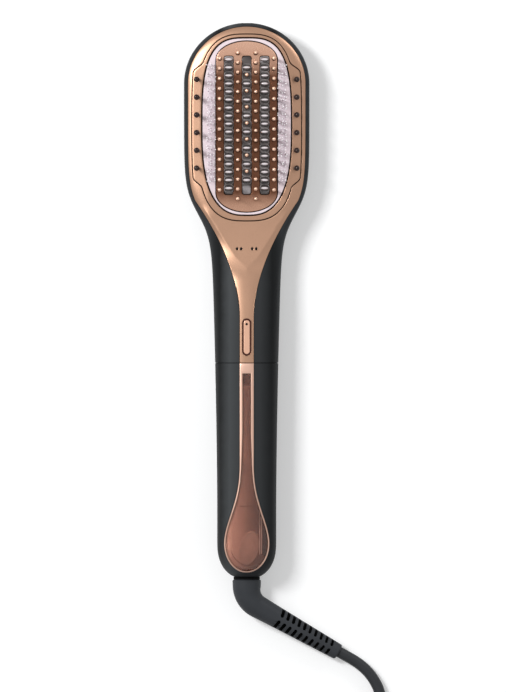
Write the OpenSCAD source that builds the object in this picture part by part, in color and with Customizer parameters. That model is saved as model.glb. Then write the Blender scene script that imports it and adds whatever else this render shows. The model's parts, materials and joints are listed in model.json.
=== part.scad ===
// Steam hair straightener brush, lying on its back, bristles up. Millimetres.
// +Y points to the head, +Z out of the bristle side, and Z = 0 is the surface it lies on.

/* [Body] */
// Length of the body, without the cord's elbow
body_length = 300; // [270:5:330]
// Widest width, at the head
head_width = 68; // [60:1:78]
// Width of the handle over the water tank
handle_width = 32; // [30:1:36]
// How much wider the handle is where it meets the head's flare
neck_swell = 4.6; // [3:0.1:7]
// Height of the head's front face above the back
head_depth = 24.4; // [23:0.1:27]
// Height of the handle's front above the back
handle_depth = 32; // [31:0.5:36]
// Wall of the shells
wall = 2; // [1.6:0.1:2.4]
// Distance from the seam across the handle to the cord end
tank_end_length = 115.8; // [110:0.2:125]

/* [Front frame] */
// Width of the black rim seen round the frame on the head
rim_width = 2.2; // [1.6:0.1:3]
// Width of the frame's strip on the handle
strip_width = 7.6; // [7:0.1:9]
// Thickness of the frame and of the tank's trim
frame_t = 1.8; // [1.4:0.1:2.2]

/* [Brush field] */
// Length of the heater plate
plate_length = 92.4; // [84:0.2:98]
// Width of the heater plate
plate_width = 33; // [30:0.5:36]
// Thickness of the heater plate
plate_t = 2.5; // [2:0.1:3]
// Width of the slots for the combs
slot_width = 5.2; // [4.6:0.1:5.6]
// Distance from the slots to the handle end of the heater plate
slot_margin = 9.4; // [8:0.2:14]
// Height of the metal pins above the heater plate
pin_height = 12.5; // [9:0.5:15]
// Diameter of a metal pin's stem
pin_d = 1.5; // [1.2:0.1:1.8]
// Diameter of a metal pin's ball tip
pin_ball_d = 2.2; // [1.8:0.1:2.6]
// Height of the guard pins above the ring plate
guard_height = 9; // [6:0.5:12]
// Guard pins on each side
guard_count = 6; // [4:1:7]
// Rows of bristles on each side
bristle_rows = 15; // [12:1:17]
// Length of a bristle
bristle_length = 9.5; // [7:0.5:12]
// Teeth on each outer comb
comb_teeth = 17; // [13:1:19]

/* [Button] */
// Length of the push button
button_length = 18.6; // [14:0.2:22]
// Width of the push button
button_width = 3.5; // [3:0.1:4]
// Travel of the push button
button_travel = 0.8; // [0.5:0.1:1]

/* [Swivel and plug] */
// Radius of the elbow's neck in its bearing
neck_r = 5; // [4.5:0.1:5.5]
// Diameter of the cord
cord_d = 6; // [6:0.1:6.4]
// Diameter of the plug's pins
plug_pin_d = 4; // [3.9:0.1:4.8]
// Length of the plug's pins
plug_pin_length = 19; // [17:0.5:19]

/* [Hidden] */
$fn = 48;

clear = 0.3;              // gap between pieces that don't touch
slip = 0.05;              // radial clearance of a running fit

// ---- outline of the body, seen from the front ----
head_y = body_length / 2;                 // head's end
tail_y = -body_length / 2;                // cord's end
seam_y = tail_y + tank_end_length;        // seam across the handle
seam_gap = 0.3;
head_a = head_width / 2;                  // the head's end is half an ellipse
head_b = 32.9;
head_cy = head_y - head_b + 0.1;
flare_y = head_cy - 70.2;                 // middle of the flare from handle to head
flare_reach = 14;
swell_from = tail_y + 35;
swell_span = 125;                         // over this length the handle gains half its swell
tail_round = 13;                          // length of the rounded cord end
tail_cy = tail_y + tail_round;
tail_power = 2.3;
side_z = 13;                              // height of the widest line
back_dip = 0.6;                           // how far the round back is cut flat
thicken_y = flare_y - 37;                 // where the handle grows thicker than the head
thicken_reach = 22;

function mix(a, b, f) = a + (b - a) * f;
function clamp01(v) = min(1, max(0, v));
function tanh(v) = (exp(2 * v) - 1) / (exp(2 * v) + 1);
function step_up(v) = (1 + tanh(v)) / 2;
// Superellipse: height at x, both as shares of their half axes
function arch(x, n) = pow(1 - pow(clamp01(abs(x)), n), 1 / n);

// Half width without the rounded cord end
function full_w(y) =
    let (handle = handle_width / 2 + neck_swell / 2 * pow(max(0, y - swell_from) / swell_span, 1.6))
    mix(handle, head_a, step_up((y - flare_y) / flare_reach));
function head_end(y) = y > head_cy ? sqrt(1 - pow(min(1, (y - head_cy) / head_b), 2)) : 1;
function tail_end(y, reach) = y < tail_cy ? arch((tail_cy - y) / reach, tail_power) : 1;
function side_w(y, inset = 0) =
    (y > head_cy ? head_a - inset : full_w(y) - inset) * head_end(y) * tail_end(y, 14.57);
function top_h(y, inset = 0) =
    (mix(head_depth, handle_depth, step_up((thicken_y - y) / thicken_reach)) - side_z - inset)
    * tail_end(y, 13.3);
function bot_h(y, inset = 0) = (side_z + back_dip - inset) * tail_end(y, 20.3);
// Power of the front's and the back's cross-section
back_n = 2.4;
flat_n = 6;
function front_n(y) = mix(back_n, flat_n, step_up((y - flare_y + 7) / 20));

// A point of the body's surface at station y and angle th, in its widest plane at 0
function skin_point(y, th, inset) =
    let (n = th < 0 ? back_n : front_n(y),
         c = pow(cos(th), 2 / n),
         h = th < 0 ? -bot_h(y, inset) : top_h(y, inset),
         reach = y > head_cy ? (y - head_cy) * (head_b - inset) / head_b : 0)
    [side_w(y, inset) * c,
     y > head_cy ? head_cy + reach * c : y < tail_cy ? tail_cy + (y - tail_cy) * (1 - inset / tail_round) : y,
     side_z + h * pow(abs(sin(th)), 2 / n)];
// Angle at which the surface reaches height z, or half width x
function angle_at_z(y, z, inset) =
    let (n = z < side_z ? back_n : front_n(y), h = z < side_z ? bot_h(y, inset) : top_h(y, inset))
    sign(z - side_z) * min(87, asin(pow(clamp01(abs(z - side_z) / h), n / 2)));
function angle_at_x(y, x, inset) =
    acos(pow(clamp01(x / side_w(y, inset)), front_n(y) / 2));
// Height of the front surface over the point x, y
function front_z(x, y) =
    let (share = y > head_cy ? norm([x / head_a, (y - head_cy) / head_b]) : x / side_w(y))
    side_z + top_h(y) * arch(share, front_n(y));

// ---- stations along the body ----
upper_ys = concat([for (i = [0:15]) mix(seam_y + seam_gap / 2, head_cy, i / 16)],
                  [for (a = [0:10:80]) head_cy + head_b * sin(a)], [head_y]);
lower_ys = concat([tail_y], [for (a = [75:-15:0]) tail_cy - tail_round * sin(a)],
                  [for (i = [1:16]) mix(tail_cy, seam_y - seam_gap / 2, i / 16)]);

// ---- frame and tank window outlines, as half widths ----
flare_from = flare_y - 56;               // where the frame starts to widen
function frame_w(y) =
    y > head_cy ? (head_a - rim_width) * arch((y - head_cy) / (head_b - rim_width), 2)
    : min(full_w(y) - rim_width, strip_width / 2 + 0.01398 * pow(max(0, y - flare_from), 1.8));
bulb_y = tail_y + 18;
bulb_a = 12.25;
bulb_b = 15.7;
bulb_top = tail_y + 62;
function trim_w(y) =
    let (u = pow(clamp01((bulb_top - y) / (bulb_top - bulb_y)), 1.35))
    y < bulb_y ? bulb_a * arch((bulb_y - y) / bulb_b, 2)
    : mix(strip_width / 2, bulb_a, u * u * (3 - 2 * u));
trim_end = bulb_y - bulb_b;
window_top = seam_y - 5.7;
rim_strip = 1.5;                          // rim of the window beside the strip, and round the bulb
rim_bulb = 1.1;
function window_w(y) = trim_w(y) - (y < bulb_y ? rim_bulb * trim_w(y) / bulb_a
    : mix(rim_strip, rim_bulb, clamp01((bulb_top - y) / 30)));

// ---- skin makers ----
function flat_list(rings) = [for (r = rings) each r];
// Closed solid through rings of as many points each. Its two end rings are zipped shut from side to side,
// or joined to each other where it loops round an opening
module skin(rings, loop = false) {
    m = len(rings[0]);
    total = len(rings) * m;
    last = total - m;
    sides = [for (k = [0:len(rings) - (loop ? 1 : 2)], j = [0:m - 1])
        let (a = k * m + j, b = k * m + (j + 1) % m, c = (a + m) % total, d = (b + m) % total)
        each [[a, b, d], [a, d, c]]];
    zips = [for (i = [0:m / 2 - 2]) let (j = m - 1 - i)
        each [[i, j, j - 1], [i, j - 1, i + 1],
              [last + i, last + i + 1, last + j - 1], [last + i, last + j - 1, last + j]]];
    polyhedron(flat_list(rings), loop ? sides : concat(sides, zips));
}
// A ring of the shell: right side up the stations, then left side back
function shell_ring(ys, angles, inset, low, high) =
    let (side = [for (i = [0:len(ys) - 1]) let (p = skin_point(ys[i], angles[i], inset))
        [p[0], min(high, max(low, p[1])), p[2]]])
    concat(side, [for (i = [len(ys) - 1:-1:0]) [-side[i][0], side[i][1], side[i][2]]]);
// Rings between two edges, each edge an angle for every station
function between(ys, from, to, count, inset, low, high, to_ys = []) =
    let (ends = len(to_ys) > 0 ? to_ys : ys, all = [0:len(ys) - 1])
    [for (k = [0:count]) shell_ring([for (i = all) mix(ys[i], ends[i], k / count)],
        [for (i = all) mix(from[i], to[i], k / count)], inset, low, high)];
function reversed(list) = [for (i = [len(list) - 1:-1:0]) list[i]];
// A plate that follows the front surface between the half widths w, from depth d0 down to d1
module front_plate(ys, ws, d0, d1) {
    across = [for (i = [-6:6]) i / 6];
    skin([for (k = [0:len(ys) - 1])
        concat([for (s = across) [ws[k] * s, ys[k], front_z(ws[k] * s, ys[k]) - d0]],
               [for (s = reversed(across)) [ws[k] * s, ys[k], front_z(ws[k] * s, ys[k]) - d1]])]);
}
// Flat plate between z0 and z1 with the outline of the half widths ws at the stations ys
module flat_plate(ys, ws, z0, z1) {
    n = len(ys) - 1;
    translate([0, 0, z0]) linear_extrude(z1 - z0) polygon(concat(
        [for (i = [0:n]) [ws[i], ys[i]]], [for (i = [n:-1:0]) [-ws[i], ys[i]]]));
}
module pill(length, width, h) {
    for (s = [-1, 1]) translate([0, s * (length - width) / 2, 0]) cylinder(d = width, h = h);
    translate([-width / 2, -(length - width) / 2, 0]) cube([width, length - width, h]);
}
module bar(x, y, z) { translate([x[0], y[0], z[0]]) cube([x[1] - x[0], y[1] - y[0], z[1] - z[0]]); }
module rod_y(x, y, z, r) {
    translate([x, y[0], z]) rotate([-90, 0, 0]) cylinder(r = r, h = y[1] - y[0]);
}

// ---- heights in the head, from the back up ----
ring_top = head_depth - 0.8;
ring_t = 1.6;
plate_top = ring_top - 0.6;
plate_bottom = plate_top - plate_t;
carrier_bottom = ring_top - ring_t - 1.6;
island_top = ring_top - 1;
gasket_t = 0.3;
chamber_top = plate_bottom - gasket_t;
ptc_top = chamber_top - 7.7;
ptc_bottom = ptc_top - 4;
clamp_t = 1.4;
chassis_top = ptc_bottom - clamp_t;
chassis_t = 1.5;

// ---- brush field outlines ----
field_y = head_cy - 23.4;                 // middle of the heater plate
plate_corner = 10.2;
plate_from = field_y - plate_length / 2;
plate_to = field_y + plate_length / 2;
function plate_w(y, grow = 0) =
    (plate_width / 2 + grow) * arch((abs(y - field_y) - plate_length / 2 + plate_corner < 0 ? 0
        : abs(y - field_y) - plate_length / 2 + plate_corner) / (plate_corner + grow), 2);
function plate_ys(grow) = let (e = plate_corner + grow, s = plate_length / 2 - plate_corner)
    concat([for (a = [88:-11:0]) field_y - s - e * sin(a)], [for (a = [0:11:88]) field_y + s + e * sin(a)]);
ring_reach = plate_length / 2 + 4.4;      // half length of the ring plate
ring_a = plate_width / 2 + 10.3;
ear_w = ring_a + 2.9;                     // half width over the guard pins
ear_to = plate_to - 13.8;
ear_from = plate_from + 15.2;
ear_slope = 2.6;
function ring_w(y, inset = 0) =
    max((ring_a - inset) * arch((y - field_y + 0.5) / (ring_reach - inset), 3),
        mix(0, ear_w - inset, clamp01(min(ear_to - inset + ear_slope - y, y - ear_from - inset + ear_slope)
            / ear_slope)));
function ring_ys(inset) = let (e = ring_reach - inset, c = field_y - 0.5)
    concat([for (a = [84:-8:44]) c - e * sin(a)],
           [ear_from + inset - 1.9, ear_from + inset - 0.3, ear_from + inset],
           [ear_to - inset, ear_to - inset + 0.3, ear_to - inset + 1.9],
           [for (a = [44:8:84]) c + e * sin(a)]);
gap_a = ring_a - 2.1;
gap_reach = ring_reach - 2.15;
function gap_w(y, inset = 0) =
    (gap_a - inset) * arch((y - field_y) / (gap_reach - inset), y > field_y ? 3.1 : 2.7);
function gap_ys(inset) = [for (a = [-85:10:85]) field_y + (gap_reach - inset) * sin(a)];
slot_x = plate_width / 2 - 6.8;
slot_to = plate_to - 8;
slot_from = plate_from + slot_margin;
slot_length = slot_to - slot_from;
outer_pin_x = plate_width / 2 - 1.85;
inner_pin_x = slot_x / 2;
// Rows of y places: count of them, evenly spread about the field's middle
function rows(count, pitch, shift = 0) =
    [for (i = [0:count - 1]) field_y + shift + (i - (count - 1) / 2) * pitch];

outer_count = 14;
outer_rows = rows(outer_count, (plate_length - 21.29) / (outer_count - 1), 1.25);
inner_count = 16;
inner_rows = rows(inner_count, (plate_length - 13.5) / (inner_count - 1), 0.35);

module in_colour(name) {
    color(name == "black" ? [0.2, 0.21, 0.22] : name == "rose" ? [0.82, 0.66, 0.57]
        : name == "copper" ? [0.5, 0.33, 0.25] : name == "pale" ? [0.88, 0.84, 0.86]
        : name == "brown" ? [0.5, 0.34, 0.29] : name == "steel" ? [0.7, 0.7, 0.72]
        : name == "green" ? [0.1, 0.35, 0.22] : [0.25, 0.26, 0.27]) children();
}

// ---- shells ----
floor_z = wall;
function flat_edge(ys, z, inset) = [for (y = ys) angle_at_z(y, z, inset)];
port_half = 8;                            // passage for the leads and the water tube
port_z = [3.6, 9];

module rear_shell() in_colour("black") {
    low = seam_y + seam_gap / 2;
    difference() {
        skin(concat(
            between(upper_ys, flat_edge(upper_ys, 0, 0), [for (y = upper_ys) 0], 5, 0, low, head_y),
            between(upper_ys, [for (y = upper_ys) 0], flat_edge(upper_ys, floor_z, wall), 4, wall,
                low + wall, head_y)));
        bar([-port_half, port_half], [low - 1, low + wall + 1], port_z);
        for (y = handle_screws) screw_hole(y);
    }
}
frame_gap = 0.15;
// Room for the strip over a shell's end wall
module strip_channel(from_y, to_y, depth) {
    x = strip_width / 2 + frame_gap;
    bar([-x, x], [from_y, to_y], [front_z(0, seam_y) - depth - clear, handle_depth + 5]);
}
open_angle = acos(pow(1 - (rim_width - frame_gap) / head_a, 3));
module front_shell() in_colour("black") {
    low = seam_y + seam_gap / 2;
    open = [for (y = upper_ys) y > head_cy ? open_angle : angle_at_x(y, frame_w(y) + frame_gap, 0)];
    inner = [for (y = upper_ys) y > head_cy ? acos(pow(0.9995, 3))
        : angle_at_x(y, min(side_w(y, wall) - 0.2, frame_w(y) + frame_gap), wall)];
    difference() {
        skin(concat(
            between(upper_ys, [for (y = upper_ys) 0], open, 7, 0, low, head_y),
            between(upper_ys, inner, [for (y = upper_ys) 0], 5, wall, low + wall, head_y)), loop = true);
        strip_channel(low - 1, low + wall + 1, frame_t);
    }
}
deck_z = 18;                              // parting of the lower handle
module handle_base() in_colour("black") {
    high = seam_y - seam_gap / 2;
    difference() {
        skin(concat(
            between(lower_ys, flat_edge(lower_ys, 0, 0), [for (y = lower_ys) 0], 5, 0, tail_y, high),
            between(lower_ys, [for (y = lower_ys) 2], flat_edge(lower_ys, deck_z, 0), 1, 0, tail_y, high),
            between(lower_ys, flat_edge(lower_ys, deck_z, wall), flat_edge(lower_ys, floor_z, wall), 6,
                wall, tail_y, high - wall)));
        bar([-port_half, port_half], [high - wall - 1, high + 1], port_z);
        translate([0, tail_y - 1, swivel_z]) rotate([-90, 0, 0]) cylinder(r = bush_r + 0.02, h = 5);
    }
}
module tank_cover() in_colour("black") {
    high = seam_y - seam_gap / 2;
    low_z = deck_z + 0.2;
    gap = frame_gap;
    // Stations of the window opening, and of the inner face behind them
    open_ys = [for (y = trim_ys) y < tail_cy ? mix(tail_cy, y, 1 + gap / (tail_cy - trim_end)) : y];
    inner_ys = [for (y = open_ys) y < tail_cy ? tail_cy + (y - tail_cy) / (1 - wall / tail_round) : y];
    open = [for (y = open_ys) angle_at_x(y, trim_w(y) + gap, 0)];
    inner = [for (i = [0:len(inner_ys) - 1]) let (y = inner_ys[i])
        angle_at_x(y, min(side_w(y, wall) - 0.3, trim_w(open_ys[i]) + gap), wall)];
    difference() {
        skin(concat(
            between(lower_ys, flat_edge(lower_ys, low_z, 0), open, 7, 0, tail_y, high, open_ys),
            between(inner_ys, inner, flat_edge(inner_ys, low_z, wall), 6, wall, tail_y, high - wall)), loop = true);
        strip_channel(high - wall - 1, high + 1, frame_t + 0.6);
    }
}

// ---- front frame ----
frame_ys = concat([for (i = [0:15]) mix(seam_y + seam_gap / 2, head_cy, i / 16)],
                  [for (a = [0:10:80]) head_cy + (head_b - rim_width) * sin(a)],
                  [head_cy + (head_b - rim_width) * sin(86)]);
lens_y = field_y - 66.2;
lens_xs = [-5.2, -3, 3, 5.2];
lens_d = 1.4;
button_y = seam_y + 14;
bezel_w = 4.9;
bezel_length = button_length + 1.4;
module front_frame() in_colour("rose") difference() {
    front_plate(frame_ys, [for (y = frame_ys) frame_w(y)], 0, frame_t);
    flat_plate(ring_ys(-0.15), [for (y = ring_ys(-0.15)) ring_w(y, -0.15)], 10, 40);
    for (x = lens_xs) translate([x, lens_y, 10]) cylinder(d = lens_d, h = 30);
    translate([0, button_y, 10]) pill(bezel_length, bezel_w, 30);
}
module indicator_lenses() in_colour("black") {
    for (x = lens_xs) translate([x, lens_y, board_top + 0.6])
        cylinder(d = lens_d, h = front_z(x, lens_y) + 0.05 - board_top - 0.6);
}

// ---- button ----
button_top = handle_depth + 0.1;
button_flange_z = front_z(0, button_y + button_length / 2) - frame_t - 1.4;
module button_bezel() in_colour("brown") translate([0, button_y, 0]) difference() {
    translate([0, 0, button_flange_z + 1.1]) pill(bezel_length, bezel_w, button_top - button_flange_z - 1.9);
    translate([0, 0, 10]) pill(button_length + 0.2, button_width + 0.2, 30);
}
module power_button() in_colour("rose") translate([0, button_y, 0]) difference() {
    union() {
        translate([0, 0, button_flange_z]) pill(button_length, button_width, button_top - button_flange_z);
        translate([0, 0, button_flange_z]) pill(button_length + 1.2, button_width + 1.2, 0.8);
    }
    button_lens_shape(0);
}
module button_lens_shape(lift) {
    translate([0, button_length / 2 - 2.3, button_top - 1.5]) cylinder(d = 1.1, h = 1.5 + lift);
}
module button_lens() in_colour("brown") translate([0, button_y, 0])
    intersection() { button_lens_shape(1); translate([-2, -12, 20]) cube([4, 24, button_top - 20]); }
module button_plunger() in_colour("dark")
    translate([0, button_y, switch_top + button_travel + 0.1])
        cylinder(r = 1.2, h = button_flange_z - switch_top - button_travel - 0.1);

// ---- board and handle interior ----
board_top = 21.6;
board_t = 1.6;
board_x = 10.5;
board_ys = [seam_y + 3.4, lens_y + 3.5];
switch_top = board_top + 3.5;
post_ys = [seam_y + 9, lens_y - 3];
post_x = 7.5;
spine_x = 5.5;
spine_t = 1.8;
module handle_chassis() in_colour("dark") difference() {
    union() {
        bar([-spine_x, spine_x], board_ys, [floor_z, floor_z + spine_t]);
        for (y = post_ys) {
            bar([-post_x - 2, post_x + 2], [y - 2.2, y + 2.2], [board_top - board_t - 2, board_top - board_t]);
            for (s = [-1, 1]) {
                bar([s * post_x - 1, s * post_x + 1], [y - 2.2, y + 2.2], [floor_z + 2, board_top - board_t]);
                bar([s * 6 - 2.5, s * 6 + 2.5], [y - 2.2, y + 2.2], [floor_z + 1.4, floor_z + 3]);
            }
        }
        for (y = handle_screws) translate([0, y, floor_z]) cylinder(r = 2.6, h = 3.4);
    }
    for (y = handle_screws) translate([0, y, floor_z - 1]) cylinder(r = screw_r, h = 9);
    for (y = post_ys, s = [-1, 1]) translate([s * post_x, y, board_top - 8]) cylinder(r = 0.8, h = 9);
}
module main_board() in_colour("green") difference() {
    bar([-board_x, board_x], board_ys, [board_top - board_t, board_top]);
    for (y = post_ys, s = [-1, 1]) translate([s * post_x, y, board_top - 3]) cylinder(r = 0.8, h = 9);
}
module board_screws() in_colour("steel") for (y = post_ys, s = [-1, 1]) translate([s * post_x, y, 0]) {
    translate([0, 0, board_top - 7]) cylinder(r = 0.8, h = 7);
    translate([0, 0, board_top]) cylinder(r = 1.6, h = 0.9);
}
module board_parts() in_colour("dark") {
    for (x = lens_xs) bar([x - 0.7, x + 0.7], [lens_y - 0.7, lens_y + 0.7], [board_top, board_top + 0.5]);
    bar([-6, 6], [button_y + 15, button_y + 21], [board_top, board_top + 1.6]);
    for (s = [-1, 1]) translate([s * 5, button_y + 27, board_top]) cylinder(r = 2, h = 2.6);
    bar([4.6, 9], [button_y - 3, button_y + 5], [board_top, board_top + 2.4]);
}
module tact_switch() in_colour("dark") translate([0, button_y, board_top]) {
    translate([-3, -3, 0]) cube([6, 6, 2.6]);
    cylinder(r = 1.5, h = switch_top - board_top);
}

// ---- water ----
pump_z = 13;
pump_r = 4.8;
pump_ys = [button_y - 6, button_y + 16];
tube_z = 5.6;
tube_r = 1.4;
nozzle_y = seam_y - 15.8;
nozzle_top = 13;
nozzle_r = 2;
vessel_floor = 12.5;
module water_pump() in_colour("steel") {
    rod_y(0, pump_ys, pump_z, pump_r);
    rod_y(0, [pump_ys[1], pump_ys[1] + 3], pump_z, 1.6);
    translate([0, pump_ys[0] + 4, pump_z - pump_r - 1.2]) cylinder(r = 1.6, h = 3);
    bar([-3.4, 3.4], [pump_ys[0] + 8, pump_ys[0] + 14], [floor_z + spine_t, pump_z]);
}
module suction_tube() in_colour("pale") {
    y_end = pump_ys[0] + 4;
    rod_y(0, [nozzle_y + 4.4, y_end], tube_z, tube_r);
    bar([-1.8, 1.8], [y_end - 1.8, y_end + 1.8], [tube_z - 1.6, pump_z - pump_r - 1.2]);
}
module delivery_tube() in_colour("pale") rod_y(0, [pump_ys[1] + 3, chamber_ys[0] - 2.4], pump_z, tube_r);
module inlet_nozzle() in_colour("dark") translate([0, nozzle_y, 0]) {
    translate([0, 0, floor_z]) cylinder(r = 4.4, h = 7);
    translate([0, 0, floor_z]) cylinder(r = nozzle_r, h = nozzle_top - floor_z);
}
module inlet_seal() in_colour("dark") translate([0, nozzle_y, floor_z + 7]) difference() {
    cylinder(r = 3.3, h = 1.2);
    translate([0, 0, -1]) cylinder(r = nozzle_r, h = 4);
}

// ---- heater stack ----
chamber_ys = [field_y - 34, field_y + 36];
chassis_ys = [field_y - 43, field_y + 44];
foot_x = 7.5;
post_head_x = 12.5;
module head_chassis() in_colour("dark") {
    difference() {
        bar([-post_head_x - 2, post_head_x + 2], chassis_ys, [chassis_top - chassis_t, chassis_top]);
        for (y = [-2:2]) bar([-9, 9], [field_y + y * 14 - 3, field_y + y * 14 + 3], [0, 20]);
    }
    for (s = [-1, 1]) {
        for (y = [chassis_ys[0] + 2, chassis_ys[1] - 16])
            translate([s * foot_x, y, floor_z]) cylinder(r = 2, h = chassis_top - floor_z - 0.5);
        for (y = [chassis_ys[0] + 2, chassis_ys[1] - 2])
            translate([s * post_head_x, y, chassis_top - 0.5])
                cylinder(r = 2, h = carrier_bottom - chassis_top + 0.5);
    }
}
module heater_clamp() in_colour("steel")
    bar([-11, 11], [chamber_ys[0] + 4, chamber_ys[1] - 4], [chassis_top, ptc_bottom]);
module heater_ptc() in_colour("pale") {
    for (i = [0:2]) let (pitch = (chamber_ys[1] - chamber_ys[0] - 12) / 3)
        bar([-10, 10], [chamber_ys[0] + 6 + i * pitch, chamber_ys[0] + 5 + (i + 1) * pitch],
            [ptc_bottom, ptc_top]);
}
module steam_chamber() in_colour("steel") difference() {
    union() {
        bar([-14, 14], chamber_ys, [ptc_top, chamber_top]);
        rod_y(0, [chamber_ys[0] - 4, chamber_ys[0] + 1], pump_z, 2.2);
    }
    bar([-12, 12], [chamber_ys[0] + 2, chamber_ys[1] - 2], [ptc_top + 2, chamber_top + 1]);
    rod_y(0, [chamber_ys[0] - 5, chamber_ys[0] + 3], pump_z, tube_r);
}
module chamber_gasket() in_colour("dark") difference() {
    bar([-14, 14], chamber_ys, [chamber_top, plate_bottom]);
    bar([-12, 12], [chamber_ys[0] + 2, chamber_ys[1] - 2], [chamber_top - 1, plate_bottom + 1]);
}
module thermal_fuse() in_colour("pale")
    rod_y(-5, [chamber_ys[0] + 18, chamber_ys[0] + 30], chassis_top - chassis_t - 1.6, 1.6);
module thermistor() in_colour("brown") translate([14, field_y, ptc_top + 3]) {
    rotate([0, 90, 0]) cylinder(r = 1.6, h = 2);
}
module heater_leads() in_colour("brown") for (s = [-1, 1]) {
    rod_y(s * 7, [board_ys[1] - 2, chamber_ys[0] + 6], ptc_bottom + 2, 0.9);
    translate([s * 7, board_ys[1] - 2, ptc_bottom + 2]) sphere(r = 1);
    translate([s * 7, board_ys[1] - 2, ptc_bottom + 2]) cylinder(r = 0.9, h = board_top - board_t - ptc_bottom - 2);
}

// ---- brush field ----
module pin_ring() in_colour("rose") difference() {
    flat_plate(ring_ys(0), [for (y = ring_ys(0)) ring_w(y)], ring_top - ring_t, ring_top);
    flat_plate(gap_ys(0), [for (y = gap_ys(0)) gap_w(y)], 0, 40);
}
guard_x = (ear_w + gap_a) / 2;
guard_pitch = (ear_to - ear_from - 15.4) / (guard_count - 1);
module guard_pins() in_colour("brown") for (y = rows(guard_count, guard_pitch, 1.4), s = [-1, 1])
    translate([s * guard_x, y, ring_top]) {
        cylinder(r = 1.3, h = 0.7);
        cylinder(r = 0.75, h = guard_height - 1.3);
        translate([0, 0, guard_height - 1.3]) sphere(d = 2.6);
    }
module bristle_carrier() in_colour("pale") difference() {
    union() {
        flat_plate(ring_ys(0.5), [for (y = ring_ys(0.5)) ring_w(y, 0.5)], carrier_bottom, ring_top - ring_t);
        flat_plate(gap_ys(0.4), [for (y = gap_ys(0.4)) gap_w(y, 0.4)], ring_top - ring_t, island_top);
    }
    flat_plate(plate_ys(clear), [for (y = plate_ys(clear)) plate_w(y, clear)], 0, 40);
    for (s = [-1, 1]) bristle_slab(s, 0.02);
}
slab_x = [plate_width / 2 + 0.6, plate_width / 2 + 4.4];
bristle_pitch = (plate_length - 31.5) / (bristle_rows - 1);
slab_y = field_y + 1.8;
slab_half = (bristle_rows - 1) * bristle_pitch / 2 + 1.6;
module bristle_slab(s, grow) {
    x0 = slab_x[0] - grow;
    x1 = slab_x[1] + grow;
    bar(s > 0 ? [x0, x1] : [-x1, -x0], [slab_y - slab_half - grow, slab_y + slab_half + grow],
        [island_top - 1, island_top + 0.02 + grow]);
}
strands = 11;                             // in each row, in three short lines of 4, 4 and 3
module side_bristles(s) in_colour("pale") {
    bristle_slab(s, 0);
    for (y = rows(bristle_rows, bristle_pitch, slab_y - field_y), i = [0:strands - 1]) {
        line = floor(i / 4);
        out = 0.3 + (i % 4) * 0.86 + [0, 0.43, 0][line];
        translate([s * (slab_x[0] + out), y + (line - 1) * 1.15, island_top - 0.5])
            rotate([0, s * (1 + out * 4.5), 0]) rotate([(1 - line) * 2.5, 0, 17])
                cylinder(r = 0.24, h = bristle_length + 0.5, $fn = 4);
    }
}
module heater_plate() in_colour("copper") difference() {
    flat_plate(plate_ys(0), [for (y = plate_ys(0)) plate_w(y)], plate_bottom, plate_top);
    for (x = [-slot_x, 0, slot_x]) bar([x - slot_width / 2, x + slot_width / 2], [slot_from, slot_to], [0, 40]);
}
module metal_pins(x, ys) in_colour("rose") for (y = ys) translate([x, y, plate_top]) {
    cylinder(d = pin_d, h = pin_height);
    translate([0, 0, pin_height]) sphere(d = pin_ball_d);
}
comb_pitch = (slot_length - 5.4) / (comb_teeth - 1);
strip_z = [plate_bottom, plate_top - 0.4];
comb_height = pin_height - 0.8;
module comb_strip(x, count, pitch) in_colour("pale") {
    half = slot_width / 2 - 0.15;
    bar([x - half, x + half], [slot_from + 0.15, slot_to - 0.15], strip_z);
    for (y = rows(count, pitch, 0.7)) {
        bar([x - 1.7, x + 1.7], [y - 0.55, y + 0.55], [strip_z[1] - 0.2, plate_top + comb_height - 1.2]);
        translate([x, y - 0.55, plate_top + comb_height - 1.7]) rotate([-90, 0, 0]) cylinder(r = 1.7, h = 1.1);
    }
}
module centre_pins() {
    metal_pins(0, rows(7, 2 * comb_pitch, 1.8));
}

// ---- tank ----
trim_ys = [for (y = lower_ys) y < tail_cy ? mix(tail_cy, trim_end, (tail_cy - y) / tail_round) : y];
window_ys = concat([for (a = [84:-12:0]) bulb_y - (bulb_b - rim_bulb) * sin(a)],
                   [for (i = [1:12]) mix(bulb_y, window_top, i / 12)]);
function window_half(y, grow) = y < bulb_y
    ? (bulb_a - rim_bulb + grow) * arch((bulb_y - y) / (bulb_b - rim_bulb + grow), 2) : window_w(y) + grow;
module tank_trim() in_colour("rose") difference() {
    front_plate(trim_ys, [for (y = trim_ys) max(0.4, trim_w(y))], 0, frame_t + 0.6);
    flat_plate(window_ys, [for (y = window_ys) window_half(y, 0)], 10, 40);
}
window_drop = 1;
window_t = 1.4;
module tank_window() in_colour("brown")
    front_plate(window_ys, [for (y = window_ys) window_half(y, 0) - 0.1], window_drop, window_drop + window_t);
vessel_ys = [tail_y + 11, seam_y - 13.8];
vessel_wall = 1.5;
vessel_inset = wall + frame_t + 0.9;
stations = 10;
function vessel_ring(y, k) =
    let (w = side_w(max(y, tail_cy - 4), vessel_inset) - k, top = top_h(max(y, tail_cy - 2), vessel_inset) - k,
         from = asin(clamp01((vessel_floor + k - side_z) / top)))
    concat([for (i = [0:8]) let (a = mix(from, 90, i / 8))
                [w * pow(cos(a), 2 / 2.4), y, side_z + top * pow(sin(max(0, a)), 2 / 2.4)]],
           [for (i = [8:-1:0]) let (a = mix(from, 90, i / 8))
                [-w * pow(cos(a), 2 / 2.4), y, side_z + top * pow(sin(max(0, a)), 2 / 2.4)]]);
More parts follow.
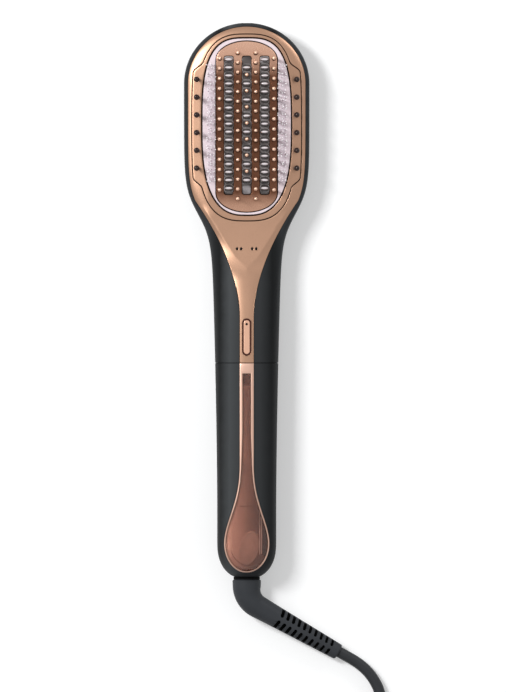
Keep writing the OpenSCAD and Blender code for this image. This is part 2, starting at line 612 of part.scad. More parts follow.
module tank_vessel() in_colour("pale") difference() {
    skin(concat([for (i = [0:stations]) vessel_ring(mix(vessel_ys[0], vessel_ys[1], i / stations), 0)],
                [for (i = [stations:-1:0])
                    vessel_ring(mix(vessel_ys[0] + vessel_wall, vessel_ys[1], i / stations), vessel_wall)]));
    translate([0, nozzle_y, vessel_floor - 1]) cylinder(r = 2.6, h = 4);
}
fill_z = side_z + 7.5;
fill_r = 4;
module vessel_cap() in_colour("pale") difference() {
    skin([vessel_ring(vessel_ys[1], 0), [for (p = vessel_ring(vessel_ys[1], 0)) p + [0, vessel_wall, 0]]]);
    rod_y(0, [vessel_ys[1] - 1, vessel_ys[1] + 5], fill_z, fill_r);
}
module outlet_valve() in_colour("dark") translate([0, nozzle_y, 0]) difference() {
    translate([0, 0, vessel_floor - 2]) cylinder(r = 4, h = 2);
    translate([0, 0, vessel_floor - 3]) cylinder(r = nozzle_r + slip, h = 5);
}
stopper_ys = [vessel_ys[1] - 2, vessel_ys[1] + vessel_wall + 0.6];
module tank_stopper() in_colour("dark") {
    rod_y(0, stopper_ys, fill_z, fill_r - slip);
    rod_y(0, [stopper_ys[1], stopper_ys[1] + 2], fill_z, fill_r + 1);
}
module stopper_seal() in_colour("brown") difference() {
    rod_y(0, [stopper_ys[1] - 0.6, stopper_ys[1]], fill_z, fill_r + 0.8);
    rod_y(0, [stopper_ys[1] - 2, stopper_ys[1] + 2], fill_z, fill_r - slip);
}

// ---- swivel ----
swivel_z = 10;
bush_r = neck_r + 1.4;
module swivel_bush() in_colour("dark") difference() {
    union() {
        rod_y(0, [tail_y + 0.2, tail_y + wall + 1.4], swivel_z, bush_r);
        rod_y(0, [tail_y + wall + 0.4, tail_y + wall + 1.4], swivel_z, bush_r + 0.2);
    }
    rod_y(0, [tail_y - 1, tail_y + 8], swivel_z, neck_r + slip);
}
module swivel_clip() in_colour("steel") difference() {
    rod_y(0, [tail_y + wall + 1.7, tail_y + wall + 2.7], swivel_z, neck_r + 1.2);
    rod_y(0, [tail_y, tail_y + 9], swivel_z, neck_r - 0.8 + slip);
}
neck_end = tail_y + wall + 4;
module contact_block() in_colour("dark") {
    bar([-7, 7], [neck_end + 0.4, neck_end + 4.4], [lead_z - 1.6, swivel_z + 2]);
    bar([-3.5, 3.5], [neck_end + 0.4, neck_end + 4.4], [floor_z + 0.35, swivel_z]);
}
lead_x = 6;
lead_z = 6.6;
module power_leads() in_colour("brown") for (s = [-1, 1]) {
    y_end = board_ys[0] + 1.4;
    rod_y(s * lead_x, [neck_end + 4.4, y_end], lead_z, 1.1);
    translate([s * lead_x, y_end, lead_z]) sphere(r = 1.2);
    translate([s * lead_x, y_end, lead_z]) cylinder(r = 1.1, h = board_top - board_t - lead_z);
}

// ---- screws in the back ----
screw_r = 1.2;
handle_screws = [seam_y + 26, lens_y - 9];
module screw_hole(y) {
    translate([0, y, -1]) cylinder(r = 2.7, h = 2.1);
    translate([0, y, 0]) cylinder(r = screw_r, h = 9);
}
module case_screws() in_colour("steel") for (y = handle_screws) translate([0, y, 0]) difference() {
    union() {
        translate([0, 0, 0.2]) cylinder(r = 2.5, h = 0.9);
        cylinder(r = screw_r, h = 5);
    }
    translate([-0.4, -2, -1]) cube([0.8, 4, 1.5]);
    translate([-2, -0.4, -1]) cube([4, 0.8, 1.5]);
}

// ---- elbow ----
droop = 5.8;                              // how far the elbow is turned down to the surface, in degrees
bend_angle = 60.6;
bend_r = 7.6;
elbow_r = 6.9;
barrel_r = 7.5;
tip_r = 4.1;
bend_y = tail_y - 12.6;                   // where the two centrelines would meet
tangent = bend_r * tan(bend_angle / 2);
tail_length = 56.8;                       // from that point to the tip
slot_count = 10;
slot_pitch = 3.5;
slot_start = 19.6;                        // from where the two centrelines would meet
slot_start_r = 5.5;
module cord_elbow() in_colour("dark") translate([0, 0, swivel_z]) rotate([0, droop, 0]) {
    neck();
    translate([bend_r, bend_y + tangent, 0]) rotate([0, 0, 180])
        rotate_extrude(angle = bend_angle) translate([bend_r, 0]) circle(r = elbow_r);
    translate([0, bend_y, 0]) rotate([0, 0, bend_angle - 90]) rotate([0, 90, 0]) relief();
}
// Neck in the bearing, with the clip's groove, and the barrel outside it
module neck() rotate([90, 0, 0]) {
    groove = [-(tail_y + wall + 2.75), -(tail_y + wall + 1.65)];
    rotate_extrude() polygon([
        [0, -neck_end], [neck_r, -neck_end], [neck_r, groove[0]], [neck_r - 0.8, groove[0]],
        [neck_r - 0.8, groove[1]], [neck_r, groove[1]], [neck_r, -tail_y + 0.6], [barrel_r - 0.4, -tail_y + 0.6],
        [barrel_r, -tail_y + 1], [barrel_r, -bend_y - tangent - 0.4], [barrel_r - 0.8, -bend_y - tangent + 0.4],
        [0, -bend_y - tangent + 0.4]]);
}
// The tapered end, along +Z from the bend
module relief() difference() {
    rotate_extrude() polygon([
        [0, tangent - 0.8], [elbow_r - 0.2, tangent - 0.8], [slot_start_r, slot_start], [tip_r, tail_length],
        [0, tail_length]]);
    for (i = [0:slot_count - 1], s = [-1, 1])
        let (z = slot_start + 1 + i * slot_pitch, r = mix(slot_start_r, tip_r, i / slot_count))
        translate([-r - 1, s * r * 0.5 - r * 0.42, z]) cube([r + 0.2, r * 0.84, 1.4]);
}

// ---- cord ----
cord_r = cord_d / 2;
run_route = [[49.2, -190.5, 5], [54, -193.2, 4.6], [58.5, -195.8, 4.2], [62.7, -198.9, 3.9],
    [66.4, -202.6, 3.6], [69.5, -207, 3.5], [71.8, -212, 3.4], [73.1, -217.5, 3.4], [73.5, -224, 3.4],
    [73.5, -233, 3.5], [73.5, -243, 3.6], [73.5, -253, 3.7], [73.5, -262, 3.7], [73.5, -268, 3.7]];
tail_route = [[26.5, -315, 10.2], [20, -315, 10.2], [9, -315, 9.2], [-1, -315, 7.6], [-12, -314.6, 5.4],
    [-23, -312, 3.9], [-33, -306.5, 3.5], [-41.5, -298.5, 4], [-47.5, -289, 5.6], [-50.5, -279.5, 7],
    [-51, -271.5, 7.2]];
coil_centre = [26.5, -268];
coil_out = 47;                            // radius of the outermost turn
coil_in = 25;                             // radius of the innermost turn
coil_turns = 3.375;                       // turns in each of the two layers
coil_z = [3.7, 10.2];
coil_steps = 24;                          // rings in a turn

// Point of the coil's centreline after t turns, wound clockwise seen from above
function coil_radius(t) = let (pitch = (coil_out - coil_in) / coil_turns)
    t < coil_turns ? coil_out - pitch * t
    : t < coil_turns + 0.5 ? coil_in : coil_in + pitch * (t - coil_turns - 0.5);
function coil_height(t) = let (f = clamp01((t - coil_turns) / 0.5))
    mix(coil_z[0], coil_z[1], (1 - cos(180 * f)) / 2);
function coil_point(t) =
    [coil_centre[0] + coil_radius(t) * cos(-360 * t), coil_centre[1] + coil_radius(t) * sin(-360 * t),
     coil_height(t)];
coil_total = 2 * coil_turns + 0.5;
coil_route = [for (i = [0:coil_total * coil_steps]) coil_point(i / coil_steps)];
// Least gap between turns, measured between points at least half a turn apart
coil_gap = min([for (i = [0:len(coil_route) - 1], j = [i + coil_steps / 2:len(coil_route) - 1])
    norm(coil_route[i] - coil_route[j])]) - cord_d;
echo(coil_gap = coil_gap);

function unit(v) = v / norm(v);
// Tangent of a route at point i; its ends run straight
function heading(route, i) =
    unit(route[min(i + 1, len(route) - 1)] - route[max(i - 1, 0)]);
module tube(route, r, sides, first, last) {
    n = len(route) - 1;
    rings = [for (i = [0:n]) let (t = i == 0 ? first : i == n ? last : heading(route, i),
            side = unit(cross(t, [0, 0, 1])), up = cross(side, t))
        [for (k = [0:sides - 1]) let (a = 360 * (k + 0.5) / sides)
            route[i] + r * cos(a) * side + r * sin(a) * up]];
    faces = [for (i = [0:n - 1], k = [0:sides - 1])
        let (a = i * sides + k, b = i * sides + (k + 1) % sides) each [[a, b + sides, b], [a, a + sides, b + sides]]];
    caps = [for (k = [1:sides - 2]) each [[0, k, k + 1], [n * sides, n * sides + k + 1, n * sides + k]]];
    polyhedron(flat_list(rings), concat(faces, caps));
}
elbow_heading = [sin(bend_angle) * cos(droop), -cos(bend_angle), -sin(bend_angle) * sin(droop)];
module cord_run() in_colour("dark") tube(run_route, cord_r, 10, elbow_heading, [0, -1, 0]);
module cord_coil() in_colour("dark") tube(coil_route, cord_r, 6, [0, -1, 0], [-1, 0, 0]);
module cord_tail() in_colour("dark") tube(tail_route, cord_r, 10, [-1, 0, 0], [0, 1, 0]);
tie_t = 0.6;
tie_width = 8;
module cord_tie() in_colour("black") translate([coil_centre[0], coil_centre[1] + (coil_in + coil_out) / 2, 0]) {
    half = (coil_out - coil_in) / 2 + cord_r + 0.3;
    low = coil_z[0] - cord_r - 0.1;
    high = coil_z[1] + cord_r + 0.1;
    difference() {
        bar([-tie_width / 2, tie_width / 2], [-half - tie_t, half + tie_t], [low - tie_t + 0.05, high + tie_t]);
        bar([-tie_width, tie_width], [-half, half], [low, high]);
    }
}

// ---- plug ----
plug_at = [-51, -271.5, 7.2];
relief_length = 12;
plug_length = 26;
plug_pin_spacing = 19;
module plug_body() in_colour("dark") translate(plug_at) {
    rotate([-90, 0, 0]) cylinder(r1 = cord_r + 0.8, r2 = 5.6, h = relief_length);
    translate([0, relief_length, -6.8]) linear_extrude(13.6) polygon([
        [-7, 0], [-13, 9], [-13, 22], [-11, plug_length], [11, plug_length], [13, 22], [13, 9], [7, 0]]);
    for (s = [-1, 1]) translate([s * plug_pin_spacing / 2, relief_length + plug_length, 0]) rotate([-90, 0, 0]) {
        cylinder(d = plug_pin_d, h = plug_pin_length - 1);
        translate([0, 0, plug_pin_length - 1]) cylinder(d1 = plug_pin_d, d2 = plug_pin_d - 1.4, h = 1);
    }
}

rear_shell();
front_shell();
front_frame();
pin_ring();
guard_pins();
bristle_carrier();
side_bristles(-1);  // side_bristles_left
side_bristles(1);  // side_bristles_right
heater_plate();
metal_pins(-outer_pin_x, outer_rows);  // pins_outer_left
metal_pins(outer_pin_x, outer_rows);  // pins_outer_right
metal_pins(-inner_pin_x, inner_rows);  // pins_inner_left
metal_pins(inner_pin_x, inner_rows);  // pins_inner_right
centre_pins();  // pins_centre
comb_strip(-slot_x, comb_teeth, comb_pitch);  // comb_strip_left
comb_strip(0, 8, 2 * comb_pitch);  // comb_strip_centre
comb_strip(slot_x, comb_teeth, comb_pitch);  // comb_strip_right
head_chassis();
steam_chamber();
chamber_gasket();
heater_ptc();
heater_clamp();
thermal_fuse();
thermistor();
heater_leads();
handle_chassis();
main_board();
board_parts();
board_screws();
indicator_lenses();
button_bezel();
power_button();
button_lens();
button_plunger();
tact_switch();
water_pump();
suction_tube();
delivery_tube();
inlet_nozzle();
inlet_seal();
handle_base();
case_screws();
power_leads();
contact_block();
swivel_bush();
tank_cover();
tank_trim();
tank_window();
tank_vessel();
vessel_cap();
outlet_valve();
tank_stopper();
stopper_seal();
swivel_clip();
cord_elbow();
cord_run();
cord_coil();
cord_tail();
cord_tie();
plug_body();
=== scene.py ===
import json
import math

import bmesh
import bpy
from mathutils import Matrix, Vector


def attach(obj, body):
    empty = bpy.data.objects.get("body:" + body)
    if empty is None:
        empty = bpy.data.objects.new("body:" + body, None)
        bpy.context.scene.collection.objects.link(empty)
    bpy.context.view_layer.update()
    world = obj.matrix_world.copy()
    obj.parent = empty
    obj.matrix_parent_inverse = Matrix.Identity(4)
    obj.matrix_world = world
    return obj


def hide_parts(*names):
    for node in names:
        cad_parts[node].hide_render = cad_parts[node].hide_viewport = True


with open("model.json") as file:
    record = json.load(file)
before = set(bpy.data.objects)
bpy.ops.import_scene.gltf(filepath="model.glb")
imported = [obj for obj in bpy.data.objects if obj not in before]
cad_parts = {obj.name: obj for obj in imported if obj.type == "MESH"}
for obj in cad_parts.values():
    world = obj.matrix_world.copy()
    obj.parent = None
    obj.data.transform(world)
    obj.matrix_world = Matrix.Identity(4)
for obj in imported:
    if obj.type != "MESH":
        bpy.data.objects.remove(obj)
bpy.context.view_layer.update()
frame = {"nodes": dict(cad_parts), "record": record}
NODES = frame["nodes"]
MM = 0.001
scene = bpy.context.scene


# ---- body outline in mm, as in the CAD, but with ISLAND_TOP 0.3 higher
HEAD_Y, TAIL_Y, SEAM_Y, SEAM_GAP = 150.0, -150.0, -34.2, 0.3
HEAD_A, HEAD_B, HEAD_CY = 34.0, 32.9, 117.2
FLARE_Y, FLARE_REACH = 47.0, 14.0
HANDLE_HALF_W, SWELL, SWELL_Y, SWELL_LENGTH = 16, 2.3, -115, 125
TAIL_ROUND, TAIL_CY, TAIL_POWER = 18.0, -132.0, 2.3
SIDE_REACH, FRONT_REACH, BACK_REACH = 19.3, 18.4, 26.0    # how far past TAIL_CY each outline would end
SIDE_Z, BACK_DIP, BACK_N = 13.0, 0.6, 2.4
HEAD_DEPTH, HANDLE_DEPTH, WALL = 24.4, 32.0, 2.0
RIM_WIDTH, STRIP_WIDTH, FRAME_T = 2.2, 7.6, 1.8
FIELD_Y = 93.8
PLATE_HALF_W, PLATE_HALF_L, PLATE_CORNER = 16.5, 46.2, 10.2
RING_TOP, RING_T = 23.6, 1.6
RING_A, RING_CY, RING_REACH = 26.8, FIELD_Y - 0.5, 50.6
GAP_A, GAP_REACH = 24.7, 48.45
PLATE_TOP, PLATE_BOTTOM = 23.0, 20.5
CARRIER_BOTTOM, ISLAND_TOP = 20.4, 22.9
LENS_Y, LENS_XS = 27.6, (-5.2, -3.0, 3.0, 5.2)
BUTTON_Y, BUTTON_LENGTH, BUTTON_WIDTH, BUTTON_TOP = -20.2, 18.6, 3.5, 32.1
DECK_Z, FLOOR_Z = 18.0, 2.0
SWIVEL_Z, DROOP = 10.0, 5.8


def turns(n):
    """n angles evenly round a circle."""
    return [2 * math.pi * k / n for k in range(n)]


def sines(degrees):
    return [math.sin(math.radians(a)) for a in degrees]


def mix(a, b, f):
    return a + (b - a) * f


def clamp01(v):
    return min(1.0, max(0.0, v))


def oval(x, y, a, b, angle):
    """Point of an upright ellipse round x, y at an angle in radians."""
    return x + a * math.cos(angle), y + b * math.sin(angle)


def signed(v, power):
    """Power of v that keeps its sign."""
    return math.copysign(abs(v) ** power, v)


def step_up(v):
    return (1 + math.tanh(v)) / 2


def arch(x, n):
    return (1 - clamp01(abs(x)) ** n) ** (1 / n)


def full_w(y):
    """Half width of the body without its round ends."""
    handle = HANDLE_HALF_W + SWELL * (max(0.0, y - SWELL_Y) / SWELL_LENGTH) ** 1.6
    return mix(handle, HEAD_A, step_up((y - FLARE_Y) / FLARE_REACH))


def head_end(y):
    return math.sqrt(1 - min(1.0, (y - HEAD_CY) / HEAD_B) ** 2) if y > HEAD_CY else 1.0


def tail_end(y, reach):
    return arch((TAIL_CY - y) / reach, TAIL_POWER) if y < TAIL_CY else 1.0


def side_w(y, inset=0.0):
    return ((HEAD_A if y > HEAD_CY else full_w(y)) - inset) * head_end(y) * tail_end(y, SIDE_REACH)


def top_h(y, inset=0.0):
    depth = mix(HEAD_DEPTH, HANDLE_DEPTH, step_up((10 - y) / 22))
    return (depth - SIDE_Z - inset) * tail_end(y, FRONT_REACH)


def bot_h(y, inset=0.0):
    return (SIDE_Z + BACK_DIP - inset) * tail_end(y, BACK_REACH)


def front_n(y):
    return mix(BACK_N, 6, step_up((y - 40) / 20))


def skin_point(y, th, inset=0.0):
    """Point of the body's surface at station y and angle th (radians), 0 at its widest line."""
    n = BACK_N if th < 0 else front_n(y)
    c = max(0.0, math.cos(th)) ** (2 / n)
    h = bot_h(y, inset) if th < 0 else top_h(y, inset)
    if y > HEAD_CY:
        yy = HEAD_CY + (y - HEAD_CY) * (HEAD_B - inset) / HEAD_B * c
    elif y < TAIL_CY:
        yy = TAIL_CY + (y - TAIL_CY) * (1 - inset / TAIL_ROUND)
    else:
        yy = y
    z = SIDE_Z + math.copysign(1, th) * h * abs(math.sin(th)) ** (2 / n)
    return Vector((side_w(y, inset) * c, yy, z))


def front_z(x, y):
    share = math.hypot(x / HEAD_A, (y - HEAD_CY) / HEAD_B) if y > HEAD_CY else abs(x) / side_w(y)
    return SIDE_Z + top_h(y) * arch(share, front_n(y))


def angle_at_x(y, x, inset=0.0):
    return math.acos(clamp01(x / side_w(y, inset)) ** (front_n(y) / 2))


def angle_at_z(y, z, inset=0.0):
    h = bot_h(y, inset) if z < SIDE_Z else top_h(y, inset)
    n = BACK_N if z < SIDE_Z else front_n(y)
    return math.copysign(math.asin(clamp01(abs(z - SIDE_Z) / h) ** (n / 2)), z - SIDE_Z)


def frame_w(y):
    if y > HEAD_CY:
        return (HEAD_A - RIM_WIDTH) * arch((y - HEAD_CY) / (HEAD_B - RIM_WIDTH), 2)
    return min(full_w(y) - RIM_WIDTH, STRIP_WIDTH / 2 + 0.01398 * max(0.0, y + 9) ** 1.8)


# the tank's window and its rim, which round the bulb is narrower than in the CAD
BULB_Y, BULB_A, BULB_B, BULB_TOP = -132.0, 12.25, 15.7, -88.0
TRIM_END, WINDOW_TOP, RIM_STRIP, RIM_BULB = -147.7, -39.9, 1.5, 0.7


def trim_w(y):
    if y < BULB_Y:
        return BULB_A * arch((BULB_Y - y) / BULB_B, 2)
    u = clamp01((BULB_TOP - y) / (BULB_TOP - BULB_Y)) ** 1.35
    return mix(STRIP_WIDTH / 2, BULB_A, u * u * (3 - 2 * u))


def gap_w(y):
    """Half width of the carrier's face inside the ring plate."""
    return GAP_A * arch((y - FIELD_Y) / GAP_REACH, 3.1 if y > FIELD_Y else 2.7)


def rows(count, pitch, shift=0.0):
    return [FIELD_Y + shift + (i - (count - 1) / 2) * pitch for i in range(count)]


# ---- camera
def make_camera():
    """Straight down on the front, head up, from 8 m."""
    distance, view_height, mid_x, mid_y = 8000.0, 375.1, 3.4, -25.0
    data = bpy.data.cameras.new("camera")
    data.type = "PERSP"
    data.sensor_width = 36.0
    data.lens = 36.0 * distance / view_height
    data.clip_start, data.clip_end = 0.5, 60.0
    cam = bpy.data.objects.new("camera", data)
    cam.location = Vector((mid_x, mid_y, SIDE_Z + distance)) * MM
    cam.rotation_euler = (0.0, 0.0, 0.0)
    scene.collection.objects.link(cam)
    scene.camera = cam


make_camera()


# ---- cord route, as in the CAD, in mm
RUN = [(49.2, -190.5, 5), (54, -193.2, 4.6), (58.5, -195.8, 4.2), (62.7, -198.9, 3.9), (66.4, -202.6, 3.6),
       (69.5, -207, 3.5), (71.8, -212, 3.4), (73.1, -217.5, 3.4), (73.5, -224, 3.4), (73.5, -233, 3.5),
       (73.5, -243, 3.6), (73.5, -253, 3.7), (73.5, -262, 3.7)]
TAIL = [(20, -315, 10.2), (9, -315, 9.2), (-1, -315, 7.6), (-12, -314.6, 5.4), (-23, -312, 3.9),
        (-33, -306.5, 3.5), (-41.5, -298.5, 4), (-47.5, -289, 5.6), (-50.5, -279.5, 7), (-51, -271.5, 7.2)]
COIL_X, COIL_Y, COIL_OUT, COIL_IN, COIL_TURNS = 26.5, -268.0, 47.0, 25.0, 3.375
COIL_LOW_Z, COIL_HIGH_Z, COIL_STEPS = 3.7, 10.2, 24
CORD_D = 6.0
PLUG_AT = Vector((-51, -271.5, 7.2))


def coil_point(t):
    """Point of the flat coil after t turns: inwards, half a turn up, and outwards on top."""
    pitch = (COIL_OUT - COIL_IN) / COIL_TURNS
    r = COIL_OUT - pitch * t if t < COIL_TURNS else COIL_IN + pitch * max(0.0, t - COIL_TURNS - 0.5)
    f = clamp01((t - COIL_TURNS) / 0.5)
    a = -2 * math.pi * t
    return (*oval(COIL_X, COIL_Y, r, r, a), mix(COIL_LOW_Z, COIL_HIGH_Z, (1 - math.cos(math.pi * f)) / 2))


COIL = [coil_point(i / COIL_STEPS) for i in range(int((2 * COIL_TURNS + 0.5) * COIL_STEPS) + 1)]


# ---- making meshes
def link(obj, body, slot, replaces=(), mat=None):
    """Shows a piece that rides on a body, in its slot's material or in another that mat names."""
    if obj.name not in scene.collection.objects:
        scene.collection.objects.link(obj)
    obj.data.materials.clear()
    obj.data.materials.append(MATS[mat or slot])
    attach(obj, body)
    if replaces:
        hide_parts(*replaces)
    return obj


def shade(data, smooth=True):
    for p in data.polygons:
        p.use_smooth = smooth


def soften(obj, width, segments, angle):
    """Rounds the edges sharper than an angle in degrees, width in mm."""
    m = obj.modifiers.new("bevel", "BEVEL")
    m.width, m.segments = width * MM, segments
    m.limit_method, m.angle_limit = "ANGLE", math.radians(angle)
    m.use_clamp_overlap = m.harden_normals = False
    w = obj.modifiers.new("normals", "WEIGHTED_NORMAL")
    w.keep_sharp, w.weight = False, 60


class Builder:
    """Collects vertices and faces, in mm."""

    def __init__(self):
        self.v, self.f = [], []

    def ring(self, points):
        start = len(self.v)
        self.v.extend([tuple(p) for p in points])
        return list(range(start, len(self.v)))

    def over(self, points, height, lift=0.0):
        """Ring of flat points laid on a surface, lifted off it."""
        return self.ring([(x, y, height(x, y) + lift) for x, y in points])

    def bridge(self, a, b, closed=True):
        n = len(a)
        for i in range(n if closed else n - 1):
            j = (i + 1) % n
            self.f.append((a[i], a[j], b[j], b[i]))

    def loft(self, rings, loop=False):
        """Skin over closed rings. It ends in a cap at each end, or in a loop meets its start."""
        for p, q in zip(rings, rings[1:] + (rings[:1] if loop else [])):
            self.bridge(p, q)
        if not loop:
            self.f += [tuple(rings[0][::-1]), tuple(rings[-1])]

    def lathe(self, at, profile, sides=20, lean=(0.0, 0.0), loop=False):
        """Turned solid on +Z from at: profile is [(radius, height)], lean shifts x and y per mm of height."""
        rings = []
        for r, h in profile:
            cx, cy = at[0] + lean[0] * h, at[1] + lean[1] * h
            rings.append(self.ring([(*oval(cx, cy, r, r, a), at[2] + h) for a in turns(sides)]))
        self.loft(rings, loop)

    def make(self, name, smooth=True):
        data = bpy.data.meshes.new(name)
        data.from_pydata([Vector(v) * MM for v in self.v], [], self.f)
        data.validate()
        bm = bmesh.new()
        bm.from_mesh(data)
        bmesh.ops.remove_doubles(bm, verts=bm.verts, dist=1e-6)
        bmesh.ops.dissolve_degenerate(bm, edges=bm.edges, dist=1e-6)
        bmesh.ops.recalc_face_normals(bm, faces=bm.faces)
        bm.to_mesh(data)
        bm.free()
        shade(data, smooth)
        return bpy.data.objects.new(name, data)


def ball(r, z, steps=7, start=-1.0):
    """Profile of a ball of radius r with its middle at height z, from start (share of r) up."""
    angles = [mix(math.asin(start), math.pi / 2, i / steps) for i in range(steps + 1)]
    return [(max(0.02, r * math.cos(a)), z + r * math.sin(a)) for a in angles]


# ---- materials
MATS = {}


def new_material(name):
    m = bpy.data.materials.new(name)
    m.use_nodes = True
    nt = m.node_tree
    for n in list(nt.nodes):
        nt.nodes.remove(n)
    out, bsdf = add(nt, "OutputMaterial"), add(nt, "BsdfPrincipled")
    nt.links.new(bsdf.outputs[0], out.inputs[0])
    return m, nt, bsdf


def node_of(nt, kind):
    return next(n for n in nt.nodes if n.type == kind)


def add(nt, kind, **values):
    n = nt.nodes.new("ShaderNode" + kind)
    for k, v in values.items():
        if hasattr(n, k) and k not in n.inputs:
            setattr(n, k, v)
        else:
            n.inputs[k].default_value = v
    return n


def ramp(nt, source, stops):
    r = add(nt, "ValToRGB")
    while len(r.color_ramp.elements) < len(stops):
        r.color_ramp.elements.new(0.5)
    for e, (pos, col) in zip(r.color_ramp.elements, stops):
        e.position = pos
        e.color = (*col, 1.0)
    nt.links.new(source, r.inputs[0])
    return r.outputs[0]


def spread(nt, source, low, high, from_low=0.0, from_high=1.0):
    """Value that goes from low to high while the source goes from from_low to from_high."""
    r = add(nt, "MapRange")
    for socket, value in (("From Min", from_low), ("From Max", from_high), ("To Min", low), ("To Max", high)):
        r.inputs[socket].default_value = value
    nt.links.new(source, r.inputs["Value"])
    return r.outputs[0]


def feed(nt, socket, value):
    """Links an input to a node's output, or sets it to a number or a colour."""
    if isinstance(value, bpy.types.NodeSocket):
        nt.links.new(value, socket)
    else:
        socket.default_value = (*value, 1.0) if isinstance(value, tuple) else value


def calculated(nt, operation, *values):
    n = add(nt, "Math", operation=operation)
    for socket, value in zip(n.inputs, values):
        feed(nt, socket, value)
    return n.outputs[0]


def blended(nt, factor, start, end):
    """Colour from start to end by a factor. Each is an output or a fixed colour."""
    blend = add(nt, "Mix", data_type="RGBA")
    nt.links.new(factor, next(s for s in blend.inputs if s.name == "Factor" and s.type == "VALUE"))
    for socket, colour in zip([s for s in blend.inputs if s.type == "RGBA"], (start, end)):
        feed(nt, socket, colour)
    return next(s for s in blend.outputs if s.type == "RGBA")


def plastic(name, colour, rough=0.45, metallic=0.0, vary=0.06, tone_scale=60.0, grain_scale=2600.0,
            grain=0.05, grain_depth=0.02, coat=0.0, transmission=0.0, ior=1.46, rough_vary=0.05, edge_lift=0.0,
            specular=0.5, sheen=0.0):
    """Moulded or painted surface, kept in MATS: slow drifts of tone, a fine grain and, where
    asked, slightly lighter sharp edges."""
    m, nt, b = new_material(name)
    where = add(nt, "TexCoord").outputs["Object"]
    slow = add(nt, "TexNoise", Scale=tone_scale, Detail=3.0, Roughness=0.55)
    nt.links.new(where, slow.inputs["Vector"])
    fine = add(nt, "TexNoise", Scale=grain_scale, Detail=2.0, Roughness=0.6)
    nt.links.new(where, fine.inputs["Vector"])
    dark = tuple(c * (1 - vary) for c in colour)
    light = tuple(min(1.0, c * (1 + vary)) for c in colour)
    tone = ramp(nt, slow.outputs["Fac"], [(0.3, dark), (0.7, light)])
    if edge_lift > 0:
        lifted_edges = spread(nt, add(nt, "NewGeometry").outputs["Pointiness"], 0.0, edge_lift, 0.52, 0.6)
        tone = blended(nt, lifted_edges, tone, tuple(min(1.0, c * 1.6 + 0.03) for c in colour))
    bump = add(nt, "Bump", Strength=grain, Distance=grain_depth * MM)
    nt.links.new(fine.outputs["Fac"], bump.inputs["Height"])
    rubbed = spread(nt, fine.outputs["Fac"], rough - rough_vary, rough + rough_vary, 0.3, 0.7)
    for socket, value in (("Base Color", tone), ("Roughness", rubbed), ("Normal", bump.outputs[0]),
                          ("Metallic", metallic), ("Coat Weight", coat), ("Coat Roughness", 0.1),
                          ("Transmission Weight", transmission), ("IOR", ior), ("Specular IOR Level", specular),
                          ("Sheen Weight", sheen)):
        feed(nt, b.inputs[socket], value)
    MATS[name] = m
    return m


def graded(name, axis, stops, low, high, wander_share=0.03, plain=None, **values):
    """Plastic or metal whose colour runs along one axis, between two places in mm.

    plain, a colour and two heights in mm, keeps the places below the first height at that colour.
    """
    nt = plastic(name, (0.5, 0.5, 0.5), **values).node_tree
    where = add(nt, "TexCoord").outputs["Object"]
    parts = add(nt, "SeparateXYZ")
    nt.links.new(where, parts.inputs[0])
    wander = add(nt, "TexNoise", Scale=180.0, Detail=2.0)
    nt.links.new(where, wander.inputs["Vector"])
    place = calculated(nt, "MULTIPLY_ADD", wander.outputs["Fac"], wander_share * (high - low) * MM,
                       parts.outputs[axis])
    tone = ramp(nt, spread(nt, place, 0.0, 1.0, low * MM, high * MM), stops)
    if plain:
        colour, bottom, top = plain
        tone = blended(nt, spread(nt, parts.outputs[2], 0.0, 1.0, bottom * MM, top * MM), colour, tone)
    nt.links.new(tone, node_of(nt, "BSDF_PRINCIPLED").inputs["Base Color"])


def thin_shadow(name, share):
    """Lets a share of the light through a material's shadow, as fine or clear plastic does."""
    nt = MATS[name].node_tree
    part = calculated(nt, "MULTIPLY", add(nt, "LightPath").outputs["Is Shadow Ray"], share)
    both = add(nt, "MixShader")
    for socket, value in zip(both.inputs, (part, node_of(nt, "BSDF_PRINCIPLED").outputs[0],
                                           add(nt, "BsdfTransparent").outputs[0])):
        nt.links.new(value, socket)
    nt.links.new(both.outputs[0], node_of(nt, "OUTPUT_MATERIAL").inputs["Surface"])


# black shells: the colour across X paints a lighter band left of the middle, a painted highlight, and darker bands
# near both flanks, painted shade, lighter again at the very edges; below 9 mm height one plain colour, blending into
# the bands up to 15 mm
graded("black_shell", 0, [
    (0.0, (0.034, 0.036, 0.038)), (0.087, (0.019, 0.020, 0.021)), (0.15, (0.013, 0.0137, 0.0142)),
    (0.22, (0.040, 0.0425, 0.0445)), (0.285, (0.057, 0.061, 0.064)), (0.38, (0.044, 0.047, 0.049)),
    (0.5, (0.034, 0.036, 0.038)), (0.7, (0.035, 0.037, 0.039)), (0.79, (0.025, 0.0265, 0.028)),
    (0.86, (0.014, 0.0147, 0.0153)), (0.913, (0.019, 0.020, 0.021)), (1.0, (0.038, 0.041, 0.044))], -20, 20,
    plain=((0.034, 0.036, 0.038), 9.0, 15.0), rough=0.42, grain=0.25, grain_depth=0.03, specular=0.02)
# copper plate: darker across the pins' field, painted shade of the pins, lighter towards both ends
graded("copper_plate", 1, [
    (0.0, (0.50, 0.29, 0.20)), (0.08, (0.42, 0.235, 0.16)), (0.15, (0.15, 0.062, 0.034)), (0.5, (0.11, 0.043, 0.022)),
    (0.80, (0.15, 0.062, 0.034)), (0.88, (0.52, 0.30, 0.21)), (1.0, (0.60, 0.36, 0.26))], 45, 142,
    rough=0.24, metallic=0.85, grain=0.03)
# clear combs: near-white at the teeth's crests, a painted highlight, and darker down the flanks and in the slots,
# painted shade
graded("clear_comb", 2, [
    (0.0, (0.060, 0.048, 0.046)), (0.2, (0.085, 0.070, 0.068)), (0.62, (0.16, 0.135, 0.135)),
    (0.86, (0.30, 0.26, 0.265)), (0.95, (0.50, 0.45, 0.47)), (1.0, (0.70, 0.65, 0.67))], 21, 34.8,
    rough=0.2, coat=0.2, ior=1.49, grain=0.02)
